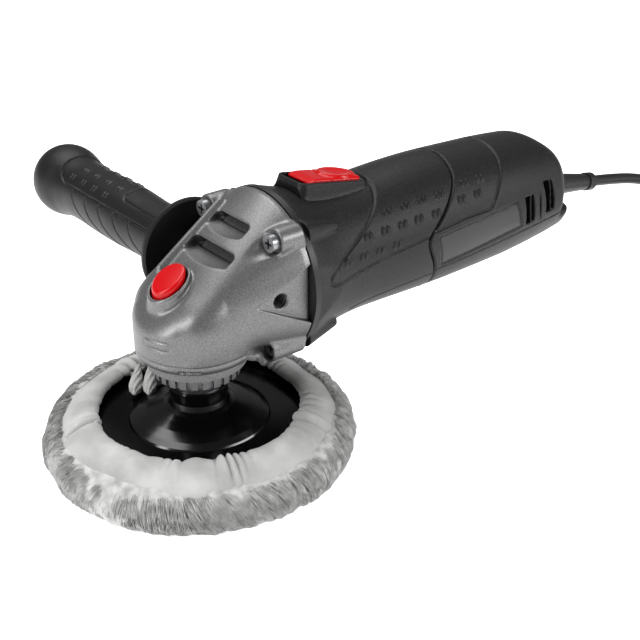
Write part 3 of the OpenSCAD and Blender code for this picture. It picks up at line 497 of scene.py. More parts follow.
# Each vent's middle along x, half width, half height and rise.
VENTS = ((188.3, 2.3, 7.6, 0), (192.2, 0.7, 7.6, 0.3), (205.1, 2.4, 8.6, 3.2),
         (209, 0.7, 8.2, 3.2))
PROFILE_X = (42, 48, 56, 64, 72, 84, 100, 120, 140, 160, 184, 200, 216, 240)
PROFILE_R = (40, 38.2, 35.8, 34.2, 33.3, 32.7, 33, 33.5, 33.7, 33.4, 32.8, 31.7, 30.2, 27.2)
SHELL_LOW, SHELL_HIGH, SHELL_STEP = (41, -41, 43), (240, 41, 126), 0.55

x, y, z = grid(SHELL_LOW, SHELL_HIGH, SHELL_STEP)
side = np.abs(y)
radius = sum(np.interp(x + d, PROFILE_X, PROFILE_R) for d in range(-5, 6)) / 11
crown = 1 - 0.03 * np.exp(-((x - 130) / 38) ** 2) * (z > AXIS_Z)
radial = np.sqrt(y * y + ((z - AXIS_Z) * crown) ** 2)
shell = radial - radius

# Tail: a shoulder and a flat face over a lip that stands further back.
bow = 0.010 * y * y
over = np.sqrt((0.6 * y) ** 2 + np.maximum(z - AXIS_Z, 0) ** 2)
shoulder = 0.62 * (x - SHOULDER_X) + 0.785 * (over - SHOULDER_R)
face = keep(x + bow - REAR_X, shoulder, 7)
tail = merge(face, keep(x + bow - LIP_X, z - LIP_TOP, 0.8), 0.8)
shell = keep(shell, tail, 5)
shell = keep(shell, HOUSING_X - x, 0.5)

# Screw ridges run on from the head's lugs and die into the barrel, with a flat facet below each.
for up in (1, -1):
    ridge = tube_between(x, side, z, (38, RIDGE_Y, MOTOR_Z + up * RIDGE_Z),
                         (RIDGE_END_X, RIDGE_Y - 0.4, MOTOR_Z + up * (RIDGE_Z - 1.2)), 6.6, 2.6)
    shell = merge(shell, keep(ridge, HOUSING_X - x, 0.4), 1.6)
facet = 0.99 * side + 0.13 * np.minimum(x - 42, 14) - 36.9
shell = keep(shell, facet, 0.4)


def unrolled(*points):
    """Points (x, y, z) on the barrel as (x, distance round it from the top)."""
    return [(px, GIRTH * math.atan2(abs(py), pz - AXIS_Z)) for px, py, pz in points]


def to_line(u, v, line):
    """Distance from each u, v to a chain of points."""
    best = np.full(u.shape, 1e3, np.float32)
    for (ax, ay), (bx, by) in zip(line, line[1:]):
        dx, dy = bx - ax, by - ay
        t = np.clip(((u - ax) * dx + (v - ay) * dy) / (dx * dx + dy * dy), 0, 1)
        best = np.minimum(best, np.hypot(u - ax - t * dx, v - ay - t * dy))
    return best


def rounded(line, times=3):
    """The chain with its corners cut until it reads as a curve."""
    for _ in range(times):
        inner = []
        for (ax, ay), (bx, by) in zip(line, line[1:]):
            inner += [(0.75 * ax + 0.25 * bx, 0.75 * ay + 0.25 * by),
                      (0.25 * ax + 0.75 * bx, 0.25 * ay + 0.75 * by)]
        line = [line[0]] + inner + [line[-1]]
    return line


front_line = rounded(unrolled((98, 0, 119), (96, -14, 115.5), (87, -24, 109), (73, -30, 100.5),
                              (59, -33, 94), (50, -34, 89), (53, -34, 84), (66, -34, 85.6),
                              (82, -34, 87.5), (115, -33.6, 91)))
split_line = rounded(unrolled((147, 0, 119), (144, -17, 114), (139, -24, 109), (131, -29.4, 102),
                              (122, -32.7, 95), (115.5, -33.6, 90), (116, -34, 84),
                              (120, -33, 76), (124, -29, 67), (127, -20, 58), (128, 0, 51)))
rear_line = rounded(unrolled((180, 0, 119), (178, -16, 115), (173.6, -24, 109), (166, -30, 101),
                             (160, -32.5, 94), (153, -32.7, 94.6), (136, -33, 94),
                             (119, -33, 92.2)))
lower_line = unrolled((70, -26.7, 63.8), (100, -29, 67), (122, -29.7, 68.6))
sill_line = unrolled((123, -31, 70), (150, -31.5, 71.5), (182, -31, 74.5), (204, -30, 75.4),
                     (238, -28, 75.6))
LABEL = unrolled((126, -31, 72), (122, -33.8, 89), (179, -32.9, 93.6), (184.2, -33, 77.5))

near_skin = np.abs(shell) < 1.7
at = np.nonzero(near_skin)
u = x[at[0], 0, 0]
v = GIRTH * np.arctan2(side[0, at[1], 0], z[0, 0, at[2]] - AXIS_Z)
relief = np.zeros(u.shape, np.float32)
for line, width, depth in ((front_line, 0.45, 0.8), (split_line, 0.5, 0.9),
                           (rear_line, 0.45, 0.8), (lower_line, 0.25, 0.5),
                           (sill_line, 0.3, 0.6)):
    relief = np.maximum(relief, depth * np.clip(1 + (width - to_line(u, v, line)) / 0.4, 0, 1))


def dimple_pairs(u, v, rows):
    """Raised slanted ovals in pairs; rows are (degrees above the side, places along x)."""
    height = np.zeros(u.shape, np.float32)
    for degrees, places in rows:
        for place in places:
            for off in (-1.5, 1.5):
                du, dv = u - place - off, v - GIRTH * math.radians(90 - degrees)
                lean_u, lean_v = du * 0.94 + dv * 0.34, dv * 0.94 - du * 0.34
                oval = 1 - (lean_u / 1.05) ** 2 - (lean_v / 2.2) ** 2
                height = np.maximum(height, 0.8 * np.sqrt(np.clip(oval, 0, 1)))
    return height


relief -= dimple_pairs(u, v, ((28, (79, 90, 100.6, 111, 122.2)), (42, (95, 106, 117, 128.4)),
                              (14, (63.5, 74, 84.5, 95)), (32.4, (140.6, 152)),
                              (45.5, (147, 158))))
centre = np.mean(LABEL, axis=0)
in_label = np.full(u.shape, -1e3, np.float32)
for (ax, ay), (bx, by) in zip(LABEL, LABEL[1:] + LABEL[:1]):
    nx, ny = by - ay, ax - bx
    flip = 1 if (centre[0] - ax) * nx + (centre[1] - ay) * ny < 0 else -1
    in_label = np.maximum(in_label, flip * ((u - ax) * nx + (v - ay) * ny) / math.hypot(nx, ny))
relief += 0.7 * np.clip(0.5 - in_label / 0.5, 0, 1)
shell[at] += relief
label_plate = np.full(shell.shape, 3, np.float32)
label_plate[at] = np.maximum(np.abs(shell[at] + 0.25) - 0.45, in_label + 0.75)

# The shells are a thin wall, open in front and thicker behind the vents at the tail.
inner_r = np.minimum(radius - WALL, np.where(x < 58, 34.2, 40))
hollow = np.maximum(np.sqrt(y * y + (z - AXIS_Z) ** 2) - inner_r, face + WALL)
over_lip = np.maximum(z - LIP_TOP + WALL, radial - radius + WALL)
hollow = np.minimum(hollow, np.maximum(x + bow - LIP_X + WALL, over_lip))
hollow = np.where(x > 176, np.maximum(hollow, side - 23.5), hollow)
shell = np.maximum(shell, -np.maximum(hollow, 43 - x))
shell = np.maximum(shell, -np.maximum(radial - 34.6, x - 44))
wall_z = z - 85.5
slanted = x + 0.13 * wall_z
for centre_x, half, tall, off_z in VENTS:
    vent = bar(slanted - centre_x, side - 33, wall_z - off_z, (half, 9, tall), 0.8)
    shell = cut(shell, vent, 0.3)
shell = cut(shell, bar(slanted - 189.5, side - 35, wall_z, (3.4, 4, 7.8), 0.9), 0.3)
shell = cut(shell, bar(slanted - 206.2, side - 33.5, wall_z - 3.2, (3.5, 4, 8.8), 0.9), 0.3)
fin = np.abs(slanted - 197.6 - 0.012 * wall_z ** 2) - 0.55
shell = cut(shell, np.maximum(fin, np.maximum(np.abs(wall_z) - 8, 30.2 - side)), 0.3)
shell = cut(shell, bar(x - 77, y, z - 116, (8.6, 3.6, 11), 0.2), 0.1)
leave = tube_between(x, y, z, (222, 0, 79.8), (250, 0, 75), 7.2, 7.2)
shell = cut(shell, leave, 0.3)

# The seam parts the two shells; each keeps its own side of the same line.
SEAM_GAP = 0.1
seam_s = [s for _, s in split_line]
seam_u = [p for p, _ in split_line]
round_s = GIRTH * np.arctan2(side, z - AXIS_Z)
order = np.argsort(seam_s)
split_x = np.interp(round_s, np.array(seam_s)[order], np.array(seam_u)[order])

nylon, tree, shader = new_material("spark_grained_nylon", "#161618", 0.46)
# Moulded nylon: dark charcoal, with an even grain that breaks every highlight into dots.
_, grain = roughened(tree, shader, 1700.0, 2.0, 0.55, 0.3)
tone = add(tree, "ShaderNodeValToRGB", [("Fac", grain.outputs["Fac"])])
tone.color_ramp.elements[0].position, tone.color_ramp.elements[1].position = 0.35, 0.7
tone.color_ramp.elements[0].color = linear("#0f0f10")
tone.color_ramp.elements[1].color = linear("#262628")
tree.links.new(tone.outputs["Color"], shader.inputs["Base Color"])
shader.inputs["Specular IOR Level"].default_value = 0.32

front_side = np.maximum(shell, x - split_x)
front_shell = skin("motor_shell", front_side, SHELL_LOW, SHELL_STEP, nylon, "tool")
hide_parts("motor_housing")
rear_side = np.maximum(shell, split_x + SEAM_GAP - x)
rear_shell = skin("rear_shell", rear_side, SHELL_LOW, SHELL_STEP, nylon, "tool")
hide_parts("rear_housing")
satin_film, _, _ = new_material("satin_label_film", "#0d0d0f", 0.28)
# Polyester film: smoother and a little darker than the grained wall round it.
plates = skin("blank_labels", label_plate, SHELL_LOW, SHELL_STEP, satin_film, "tool")
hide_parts("label_plates")

# ---------- Switch ----------
# A boat-shaped nylon well carries a glossy red slider: faceted in front, with a shallow oval
# thumb dish behind. Both lie in a plane that falls towards the tail.
PLATFORM_X, PLATFORM_Z, PLATFORM_FALL = 54.5, 126.2, 10.6
WELL_L, WELL_HALF, STEM_MIDDLE_X = 44.4, 11.4, 77
SWITCH_LOW, SWITCH_HIGH, SWITCH_STEP = (52, -14, 108), (101, 14, 130), 0.35
x, y, z = grid(SWITCH_LOW, SWITCH_HIGH, SWITCH_STEP)
side = np.abs(y)
fall = math.radians(PLATFORM_FALL)
run = (x - PLATFORM_X) * math.cos(fall) - (z - PLATFORM_Z) * math.sin(fall)
lift = (x - PLATFORM_X) * math.sin(fall) + (z - PLATFORM_Z) * math.cos(fall)
flare = 0.2 * np.minimum(lift, 0)
outline = bar(run - WELL_L / 2, y, 0, (WELL_L / 2, WELL_HALF, 9), 3)
outline = keep(outline, (run - WELL_L + 0.9 * (side - 6.6)) * 0.74, 1.5)
outline = keep(outline, (-run + 0.9 * (side - 8.4)) * 0.74, 1.5)
block = keep(outline + 0.9 + flare, lift, 0.8)
barrel_r = sum(np.interp(x + d, PROFILE_X, PROFILE_R) for d in range(-5, 6)) / 11
over_barrel = np.sqrt(y * y + (z - AXIS_Z) ** 2) - barrel_r
bezel = merge(block, over_barrel + 0.6, 2.5)
bezel = keep(bezel, block - 2.6, 0.5)
bezel = np.maximum(bezel, -over_barrel - 0.05)
well = bar(run - 22.6, y, lift + 1, (20.8, 9.0, 3.0), 2.4)
bezel = cut(bezel, well, 0.3)
bezel = cut(bezel, bar(x - STEM_MIDDLE_X, y, z - 116, (8.6, 3.6, 20), 0.2), 0.1)
bezel = np.maximum(bezel, 54.4 - x)
switch_well = skin("switch_well", bezel, SWITCH_LOW, SWITCH_STEP, nylon, "tool")
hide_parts("switch_bezel")

# The slider: its place along the well, length, half width, and the middle of its thumb oval.
SLIDER_RUN, SLIDER_L, SLIDER_HALF, OVAL_AT = 6.4, 31.4, 8.5, 22.2
slid = run - SLIDER_RUN
top_line = 1.1 + 0.012 * slid - 1.6 * np.clip((6 - slid) / 6, 0, 1) ** 2
plank = bar(slid - SLIDER_L / 2, y, lift, (SLIDER_L / 2, SLIDER_HALF, 2.3), 1.4)
slider = keep(plank, lift - top_line, 0.5)
slider = keep(slider, (side - SLIDER_HALF) * 0.7 + (lift - 0.4) * 0.7, 0.4)
slider = keep(slider, -1.5 - lift, 0.3)
oval_r = np.sqrt(((slid - OVAL_AT) / 1.3) ** 2 + y * y)
raised = keep(oval_r - 7.6, lift - 2.1, 0.5)
slider = merge(slider, keep(raised, -lift, 0.3), 0.7)
dish = np.sqrt((slid - OVAL_AT) ** 2 / 1.7 + y * y + (lift - 21.6) ** 2) - 20.4
slider = cut(slider, keep(dish, oval_r - 6.6, 0.3), 0.3)
step_line = np.abs(slid - 11 - 0.35 * side) - 0.25
slider = slider + 0.3 * np.clip(1 - step_line / 0.3, 0, 1)
stem = bar(x - 79.5, y, z - 117, (5, 3, 5.2), 0.3)
slider = np.minimum(slider, np.maximum(stem, 112.9 - z - 1))
gloss_red, _, shader = new_material("glossy_red_moulding", "#b00009", 0.3)
# Polished acetal: saturated red with one tight highlight on every rounded edge.
shader.inputs["Coat Weight"].default_value = 0.08
shader.inputs["Specular IOR Level"].default_value = 0.3
thumb_slider = skin("thumb_slider", slider, SWITCH_LOW, SWITCH_STEP, gloss_red, "switch")
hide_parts("switch_slider")

# ---------- Lock button ----------
# The spindle-lock button, of the same red acetal: a short round plunger cut to the slope, with
# a softly domed face. It slides in the head's post on a spring and is hollow underneath.
FACE_X, BUTTON_DEPTH, SPRING_ROOM_R = -11.6, 6.2, 4.6
BUTTON_LOW, BUTTON_HIGH, BUTTON_STEP = (-22, -9.5, 86), (-3, 9.5, 103), 0.3
x, y, z = grid(BUTTON_LOW, BUTTON_HIGH, BUTTON_STEP)
post_r = np.sqrt((x - BUTTON_X) ** 2 + y * y)
above = (z - BUTTON_FACE) * math.cos(BUTTON_TILT) - (x - FACE_X) * math.sin(BUTTON_TILT)
down = (x - FACE_X) * math.cos(BUTTON_TILT) + (z - BUTTON_FACE) * math.sin(BUTTON_TILT)
domed = above - 0.8 + 0.006 * (down ** 2 + y * y)
button = keep(post_r - BUTTON_R + 0.5, domed, 1.5)
button = keep(button, -above - BUTTON_DEPTH, 0.4)
button = cut(button, np.maximum(post_r - SPRING_ROOM_R, above + 1.2), 0.1)
push_button = skin("push_button", button, BUTTON_LOW, BUTTON_STEP, gloss_red, "lock")
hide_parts("lock_button")

# ---------- Side handle ----------
# A screwed-in grip of soft black rubber over nylon: a waist, a bulb at the end, an inset top
# panel with grip dimples and a blank plate, and slanted grooves down both flanks.
GRIP_Y, HANDLE_END, GRIP_GIRTH = 43.5, 180, 16.4
GRIP_STATIONS = (43, 60, 75, 92, 112, 128, 140, 149, 154, 160, 165, 169, 173, 176, 178.5, 180)
GRIP_RADII = (15.8, 15.5, 15.6, 16.5, 16.6, 16.1, 16.2, 17.3, 18.8, 19.8, 19.4, 18.1, 15.6, 12.6,
              8.6, 4)
PANEL_Y, PANEL_HALF = 93, (55, 17.5, 9)
PLATE_Y, PLATE_HALF = 64, (24, 9.2, 9)
GROOVE_STARTS = (130, 116, 102, 88, 74)
GROOVE = ((-3, 17.4), (0.5, 19), (-5, 27), (-16, 37), (-27, 44))
GRIP_DIMPLES = ((4.6, (97, 108.5, 120, 131.5)), (12.0, (101.5, 113, 124.5, 136)))
STUD_R = 5
GRIP_LOW, GRIP_HIGH, GRIP_STEP = (3, 42, 63), (46.5, 182, 106.5), 0.42
x, y, z = grid(GRIP_LOW, GRIP_HIGH, GRIP_STEP)
grip_r = sum(np.interp(y + d, GRIP_STATIONS, GRIP_RADII) * w for d, w in
             ((-3, 0.1), (-1.5, 0.2), (0, 0.4), (1.5, 0.2), (3, 0.1)))
off_axis = np.sqrt((x - HANDLE_X) ** 2 + (z - MOTOR_Z) ** 2)
grip = keep(keep(off_axis - grip_r, y - HANDLE_END, 1.5), GRIP_Y - y, 1.0)
at = np.nonzero(np.abs(grip) < 1.6)
turn = np.arctan2(np.abs(x[at[0], 0, 0] - HANDLE_X), z[0, 0, at[2]] - MOTOR_Z)
u, v = y[0, at[1], 0], GRIP_GIRTH * turn
relief = np.zeros(u.shape, np.float32)
panel = bar(u - PANEL_Y, v, 0 * u, PANEL_HALF, 12)
relief += 0.45 * np.clip(0.5 - panel / 0.5, 0, 1)
relief = np.maximum(relief, 0.9 * np.clip(1 + (0.35 - np.abs(panel)) / 0.4, 0, 1))
plate = np.abs(bar(u - PLATE_Y, v, 0 * u, PLATE_HALF, 3.5))
relief = np.maximum(relief, np.clip(1 + (0.3 - plate) / 0.4, 0, 1))
for start in GROOVE_STARTS:
    line = rounded([(start + along, round_grip) for along, round_grip in GROOVE])
    relief = np.maximum(relief, 0.75 * np.clip(1 + (0.3 - to_line(u, v, line)) / 0.4, 0, 1))
for row_v, places in GRIP_DIMPLES:
    for place in places:
        for off in (-1.3, 1.3):
            du, dv = u - place - off, v - row_v
            oval = 1 - du ** 2 - (dv / 1.8) ** 2
            relief -= 0.55 * np.sqrt(np.clip(oval, 0, 1))
grip[at] += relief
grip = np.maximum(grip, -np.maximum(off_axis - STUD_R, y - 70))

grip_skin, tree, shader = new_material("soft_grip_rubber", "#161617", 0.44)
# Thermoplastic rubber: charcoal, with a broad satin highlight and a dry, faint grain.
roughened(tree, shader, 1300.0, 2.0, 0.35, 0.3)
shader.inputs["Specular IOR Level"].default_value = 0.35
side_grip = skin("side_grip", grip, GRIP_LOW, GRIP_STEP, grip_skin, "tool")
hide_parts("handle_grip")

# ---------- Polishing bonnet ----------
# A sheepskin: the clipped pile covers the face and rim of the disc, the bare suede side turns
# over the edge, and a cord in its hem gathers it on top. Strands are real tapered geometry.
RIM_RHO, RIM_Z, RIM_R = 62.8, 10.6, 10.2
# The skin sits a little off centre, so more of the pile shows on the side by the barrel.
FAR_SIDE = math.radians(51)
CREST_RHO, CREST_Z, CREST_R, CREST_RISE = 60.8, 11.8, 9.3, 2.2
LOCK_W = 3.2
STRAND_ROOT, STRAND_TIP = 0.25, 0.07
LOWEST_TURN = math.radians(-84)
BONNET_LOW, BONNET_HIGH, BONNET_STEP = (-75, -75, -1), (75, 75, 26), 0.75
rng = np.random.default_rng(11)


def waves(theta, low, high, count):
    """A smooth random profile round the circle, between about -1 and 1."""
    total = 0 * theta
    for _ in range(count):
        total = total + np.sin(int(rng.integers(low, high)) * theta + rng.uniform(0, 6.28))
    return total / math.sqrt(count) / 1.3


x, y, z = grid(BONNET_LOW, BONNET_HIGH, BONNET_STEP)
rho, theta = np.sqrt(x * x + y * y), np.arctan2(y, x)
lumps = 0.8 * waves(theta, 3, 11, 4)
lumps = lumps + 0.4 * waves(theta, 20, 44, 4) * np.cos(0.5 * z + 3 * theta)
pile = np.sqrt(np.maximum(rho - RIM_RHO, 0) ** 2 + (z - RIM_Z) ** 2) - RIM_R
far = 0.5 + 0.5 * np.cos(theta - FAR_SIDE)
crest = np.sqrt((rho - CREST_RHO) ** 2 + (z - CREST_Z - CREST_RISE * far) ** 2) - CREST_R
pile = merge(pile, crest, 2)
pile = np.maximum(pile + lumps * np.clip((rho - 60) / 8, 0, 1), 0.4 - z)
pile = np.maximum(pile, -np.maximum(rho - RIM_RHO, 8 - z))
fleece, tree, shader = new_material("washed_sheepskin_pile", "#a2a2a1", 0.75)
# Wool: off-white with a faint sheen along the locks. Its darker random patches are painted shade
# for the hollows between the locks.
shader.inputs["Sheen Weight"].default_value = 0.25
spots = add(tree, "ShaderNodeTexCoord")
locks = add(tree, "ShaderNodeTexNoise", [("Vector", spots.outputs["Object"])],
            scale=220.0, detail=3.0)
tone = add(tree, "ShaderNodeValToRGB", [("Fac", locks.outputs["Fac"])])
# Painted shade: the dark end of this ramp stands for the shade between the locks.
tone.color_ramp.elements[0].position, tone.color_ramp.elements[1].position = 0.3, 0.7
tone.color_ramp.elements[0].color = linear("#8c8c8b")
tone.color_ramp.elements[1].color = linear("#b6b6b5")
tree.links.new(tone.outputs["Color"], shader.inputs["Base Color"])
under_pile = skin("wool_base", pile, BONNET_LOW, BONNET_STEP, fleece, "spinner")
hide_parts("wool_bonnet")


def strands(name, count, high, low, lift, reach):
    """Tapered three-sided strands combed outward and down round the rim, in locks. They start
    between low and high degrees up the rim, and lift and reach are in mm."""
    theta = rng.uniform(-math.pi, math.pi, count)
    away = (0.5 + 0.5 * np.cos(theta - FAR_SIDE)) ** 1.3
    start = np.radians(rng.uniform(low, high, count) + 30 * away * (high > 45))
    length = rng.uniform(*reach, count)
    stagger = np.round(start * 3.0) * 0.37
    lock = np.round(theta * RIM_RHO / LOCK_W + stagger)
    # A fixed share from 0 to 1 for each lock, so that its strands stand and lean together.
    shade = np.sin(lock * 12.9898) * 43758.5453
    shade = shade - np.floor(shade)
    centre = (lock - stagger) * LOCK_W / RIM_RHO
    sway = 0.10 * np.sin(3 * theta + 1.1) + 0.09 * (shade - 0.5) + rng.normal(0, 0.012, count)
    stand = lift * (0.35 + 0.9 * shade) * rng.uniform(0.6, 1.3, count)
    rings = []
    for step in range(4):
        f = step / 3
        turn = np.maximum(start - f * length / (RIM_R + 1.2), LOWEST_TURN)
        out = RIM_R - 0.35 + 2.6 * away * np.clip(np.sin(turn), 0, 1)
        out = out + stand * math.sin(2.2 * f) + 0.25 * rng.uniform(0, 1, count) * f
        spin = theta + 0.55 * (centre - theta) * f + sway * f
        r = RIM_RHO + out * np.cos(turn)
        h = np.maximum(RIM_Z + out * np.sin(turn), 0.45)
        rings.append((np.stack([r * np.cos(spin), r * np.sin(spin), h], 1),
                      STRAND_ROOT + (STRAND_TIP - STRAND_ROOT) * f))
    points = np.zeros((count, 4, 3, 3))
    for i, (p, width) in enumerate(rings):
        d = rings[min(i + 1, 3)][0] - rings[max(i - 1, 0)][0]
        d /= np.linalg.norm(d, axis=1, keepdims=True) + 1e-9
        across = np.cross(d, (0, 0, 1.0))
        across /= np.linalg.norm(across, axis=1, keepdims=True) + 1e-9
        normal = np.cross(across, d)
        for k in range(3):
            a = 2 * math.pi / 3 * k
            points[:, i, k] = p + width * (math.cos(a) * across + math.sin(a) * normal)
    base = (np.arange(count) * 12)[:, None]
    quads = [(3 * i + k, 3 * i + (k + 1) % 3, 3 * i + 3 + (k + 1) % 3, 3 * i + 3 + k)
             for i in range(3) for k in range(3)]
    faces = [tuple(f) for q in quads for f in (base + np.array(q)).tolist()]
    faces += [tuple(f) for cap in ((2, 1, 0), (9, 10, 11))
              for f in (base + np.array(cap)).tolist()]
    mesh = bpy.data.meshes.new(name)
    mesh.from_pydata((points.reshape(-1, 3) * MM).tolist(), [], faces)
    mesh.shade_smooth()
    mesh.materials.append(fleece)
    piece = put(name, mesh)
    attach(piece, "spinner")


strands("wool_locks_upper", 9000, 78, 10, 1.5, (9, 14))
strands("wool_locks_lower", 7000, 25, -60, 1.2, (6, 11))

# ---------- Suede collar ----------
# The bare flesh side of the same sheepskin: one thin skin that rolls over the hem cord and down
# into the pile, drawn into folds where the cord gathers it.
HIDE_PATH = [(50.4, 24.6), (48.6, 23.9), (47.5, 25.0), (48.9, 27.0), (52.2, 27.8), (56.2, 26.8),
             (60.2, 24.6), (63.6, 21.9), (66.4, 19.2), (68.0, 16.8)]
HIDE_T = 1.3
# Each gather's place round the disc and spread in degrees, and its strength.
GATHERS = ((-119, 17, 1.0), (-52, 13, 0.8), (160, 12, 0.8), (96, 14, 1.0), (20, 12, 0.6),
           (-160, 7, 0.5), (55, 8, 0.5))
path = np.array(smooth_path([(a, 0, b) for a, b in HIDE_PATH], 5))[:, [0, 2]]
spread = np.linspace(0, 1, len(path))[:, None]
theta = np.linspace(-math.pi, math.pi, 900, endpoint=False)[None, :]
pull = 0.12
for degrees, width, strength in GATHERS:
    off = (np.degrees(theta) - degrees + 180) % 360 - 180
    pull = pull + strength * np.exp(-(off / width) ** 2)
pull = np.minimum(pull, 1)
phase = 25 * theta + 2.4 * waves(theta, 5, 15, 5)
crease = 2.0 * np.abs(np.sin(phase)) ** 0.6 - 1.3
second = np.sin(19 * theta + 2.0 * waves(theta, 3, 11, 3))
uneven = 0.75 + 0.35 * waves(theta, 9, 27, 5)
reach = np.clip(1 - spread / (0.55 + 0.5 * pull * uneven), 0, 1) ** 0.7
fold = reach * pull * uneven * (3.0 * crease + 0.6 * second)
fold = fold * (0.6 + 0.4 * np.sin(math.pi * spread))
slack = 0.8 * waves(theta, 2, 8, 4) * (1 - 0.6 * spread)
slack = slack + 0.5 * waves(theta, 9, 19, 4) * spread
tangent = np.gradient(path, axis=0)
normal = np.stack([-tangent[:, 1], tangent[:, 0]], 1)
normal /= np.linalg.norm(normal, axis=1, keepdims=True)
far = (0.5 + 0.5 * np.cos(theta - FAR_SIDE)) ** 1.3
station = spread * (1 - 0.1 * far) * (len(path) - 1)
r0, h0, nr, nh = (np.interp(station, np.arange(len(path)), c) for c in (*path.T, *normal.T))
layers = []
for depth in (0.0, -HIDE_T):
    r = r0 + (fold + depth) * nr + slack * 0.9
    h = h0 + (fold + depth) * nh + 0.35 * slack
    layers.append(np.stack([r * np.cos(theta), r * np.sin(theta), h + 0 * theta], 2))
rows, columns = layers[0].shape[:2]
points = np.concatenate([layer.reshape(-1, 3) for layer in layers])
i, j = np.meshgrid(np.arange(rows - 1), np.arange(columns), indexing="ij")
a, b = (i * columns + j).ravel(), (i * columns + (j + 1) % columns).ravel()
size = rows * columns
outer = np.stack([a, a + columns, b + columns, b], 1)
inner = outer[:, ::-1] + size
j = np.arange(columns)
k = (j + 1) % columns
lip = np.stack([j, k, k + size, j + size], 1)
end = (rows - 1) * columns
hem = np.stack([end + k, end + j, end + j + size, end + k + size], 1)
mesh = bpy.data.meshes.new("suede_collar")
mesh.from_pydata((points * MM).tolist(), [], np.concatenate([outer, inner, lip, hem]).tolist())
mesh.shade_smooth()
suede, tree, shader = new_material("sheepskin_suede", "#9c9c9b", 0.85)
# The flesh side of the skin: matt, pale, with a short nap and slightly darker scuffs.
spots, _ = roughened(tree, shader, 700.0, 4.0, 0.5, 0.5)
scuffs = add(tree, "ShaderNodeTexNoise", [("Vector", spots.outputs["Object"])],
             scale=60.0, detail=3.0)
tone = add(tree, "ShaderNodeValToRGB", [("Fac", scuffs.outputs["Fac"])])
tone.color_ramp.elements[0].position, tone.color_ramp.elements[1].position = 0.35, 0.65
tone.color_ramp.elements[0].color = linear("#989897")
tone.color_ramp.elements[1].color = linear("#b0b0af")
tree.links.new(tone.outputs["Color"], shader.inputs["Base Color"])
mesh.materials.append(suede)
suede_collar = put("suede_collar", mesh)
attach(suede_collar, "spinner")
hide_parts("bonnet_hem")

# ---------- Cord tassels ----------
# The two free ends of the cotton cord in the hem, untwisted and frayed into teardrops. They lie
# on the disc in front of the head.
TASSEL_ENDS = (((0.4, 43.4, 27.6), (-12.6, 24.5, 24.8)), ((-5.8, 45, 27.8), (-18.0, 29.1, 24.6)))
YARN_PLIES, YARN_DEPTH = 7, 0.22
TASSEL_LOW, TASSEL_HIGH, TASSEL_STEP = (-27, 18, 20.6), (6, 50, 34), 0.3
x, y, z = grid(TASSEL_LOW, TASSEL_HIGH, TASSEL_STEP)
ends = None
for root, tip in TASSEL_ENDS:
    root, tip = np.array(root), np.array(tip)
    d = tip - root
    f = ((x - root[0]) * d[0] + (y - root[1]) * d[1] + (z - root[2]) * d[2]) / d.dot(d)
    t = np.clip(f, 0, 1)
    px, py, pz = x - root[0] - t * d[0], y - root[1] - t * d[1], z - root[2] - t * d[2]
    twist = np.arctan2(pz, (px * d[1] - py * d[0]) / np.hypot(d[0], d[1]))
    width = np.interp(t, (0, 0.25, 0.5, 0.75, 0.92, 1), (1.3, 2.0, 3.0, 3.4, 2.6, 1.2))
    yarn = YARN_DEPTH * np.sin(YARN_PLIES * twist + 16 * t)
    tassel = np.sqrt(px * px + py * py + pz * pz) - width - yarn
    ends = tassel if ends is None else np.minimum(ends, tassel)
ends = np.maximum(ends, 20.9 - z)
yarn_cotton, tree, shader = new_material("bleached_cotton_cord", "#aaaaa8", 0.9)
# Unwaxed cotton: dull and pale, its strands just visible.
fibre = add(tree, "ShaderNodeTexNoise", scale=900.0, detail=3.0)
bump = add(tree, "ShaderNodeBump", [("Height", fibre.outputs["Fac"])],
           strength=0.5, distance=0.4 * MM)
tree.links.new(bump.outputs["Normal"], shader.inputs["Normal"])
tassels = skin("cord_tassels", ends * 0.8, TASSEL_LOW, TASSEL_STEP, yarn_cotton, "spinner")
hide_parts("string_ends")

# ---------- Foam pad ----------
# Open-cell polyurethane between the disc and the skin, stuck to the disc's face. It bulges a
# little at its free edge.
AROUND = 120
foam_mesh = bpy.data.meshes.new("foam_cushion")
section = [(0.1, 8.1), (58, 8.1), (60.4, 9.2), (61.2, 12), (60.4, 14.8), (58.5, 15.9),
           (0.1, 15.9)]
section = [(a, b) for a, _, b in smooth_path([(a, 0, b) for a, b in section], 4)]
turns = [2 * math.pi * i / AROUND for i in range(AROUND)]
points = [(r * math.cos(a) * MM, r * math.sin(a) * MM, h * MM) for r, h in section for a in turns]
faces = [(i + j, i + (j + 1) % AROUND, i + AROUND + (j + 1) % AROUND, i + AROUND + j)
         for i in range(0, AROUND * (len(section) - 1), AROUND) for j in range(AROUND)]
last = AROUND * (len(section) - 1)
faces += [tuple(reversed(range(AROUND))), tuple(last + j for j in range(AROUND))]
foam_mesh.from_pydata(points, [], faces)
foam_mesh.shade_smooth()
open_foam, tree, shader = new_material("open_cell_foam", "#3a3a3c", 0.95)
# Polyurethane foam: dark, dry and full of small cells.
cells = add(tree, "ShaderNodeTexVoronoi", scale=900.0)
bump = add(tree, "ShaderNodeBump", [("Height", cells.outputs["Distance"])],
           strength=0.6, distance=0.5 * MM)
tree.links.new(bump.outputs["Normal"], shader.inputs["Normal"])
foam_mesh.materials.append(open_foam)
foam_cushion = put("foam_cushion", foam_mesh)
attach(foam_cushion, "spinner")
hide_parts("foam_pad")

# ---------- Backing disc, spindle and working parts ----------
# Turned, ground, stamped and moulded parts, most of them inside the shells. They keep their
# engineering shape, and each gets the finish of its own metal or plastic.
gloss_black, tree, shader = new_material("gloss_black_nylon", "#0a0a0b", 0.16)
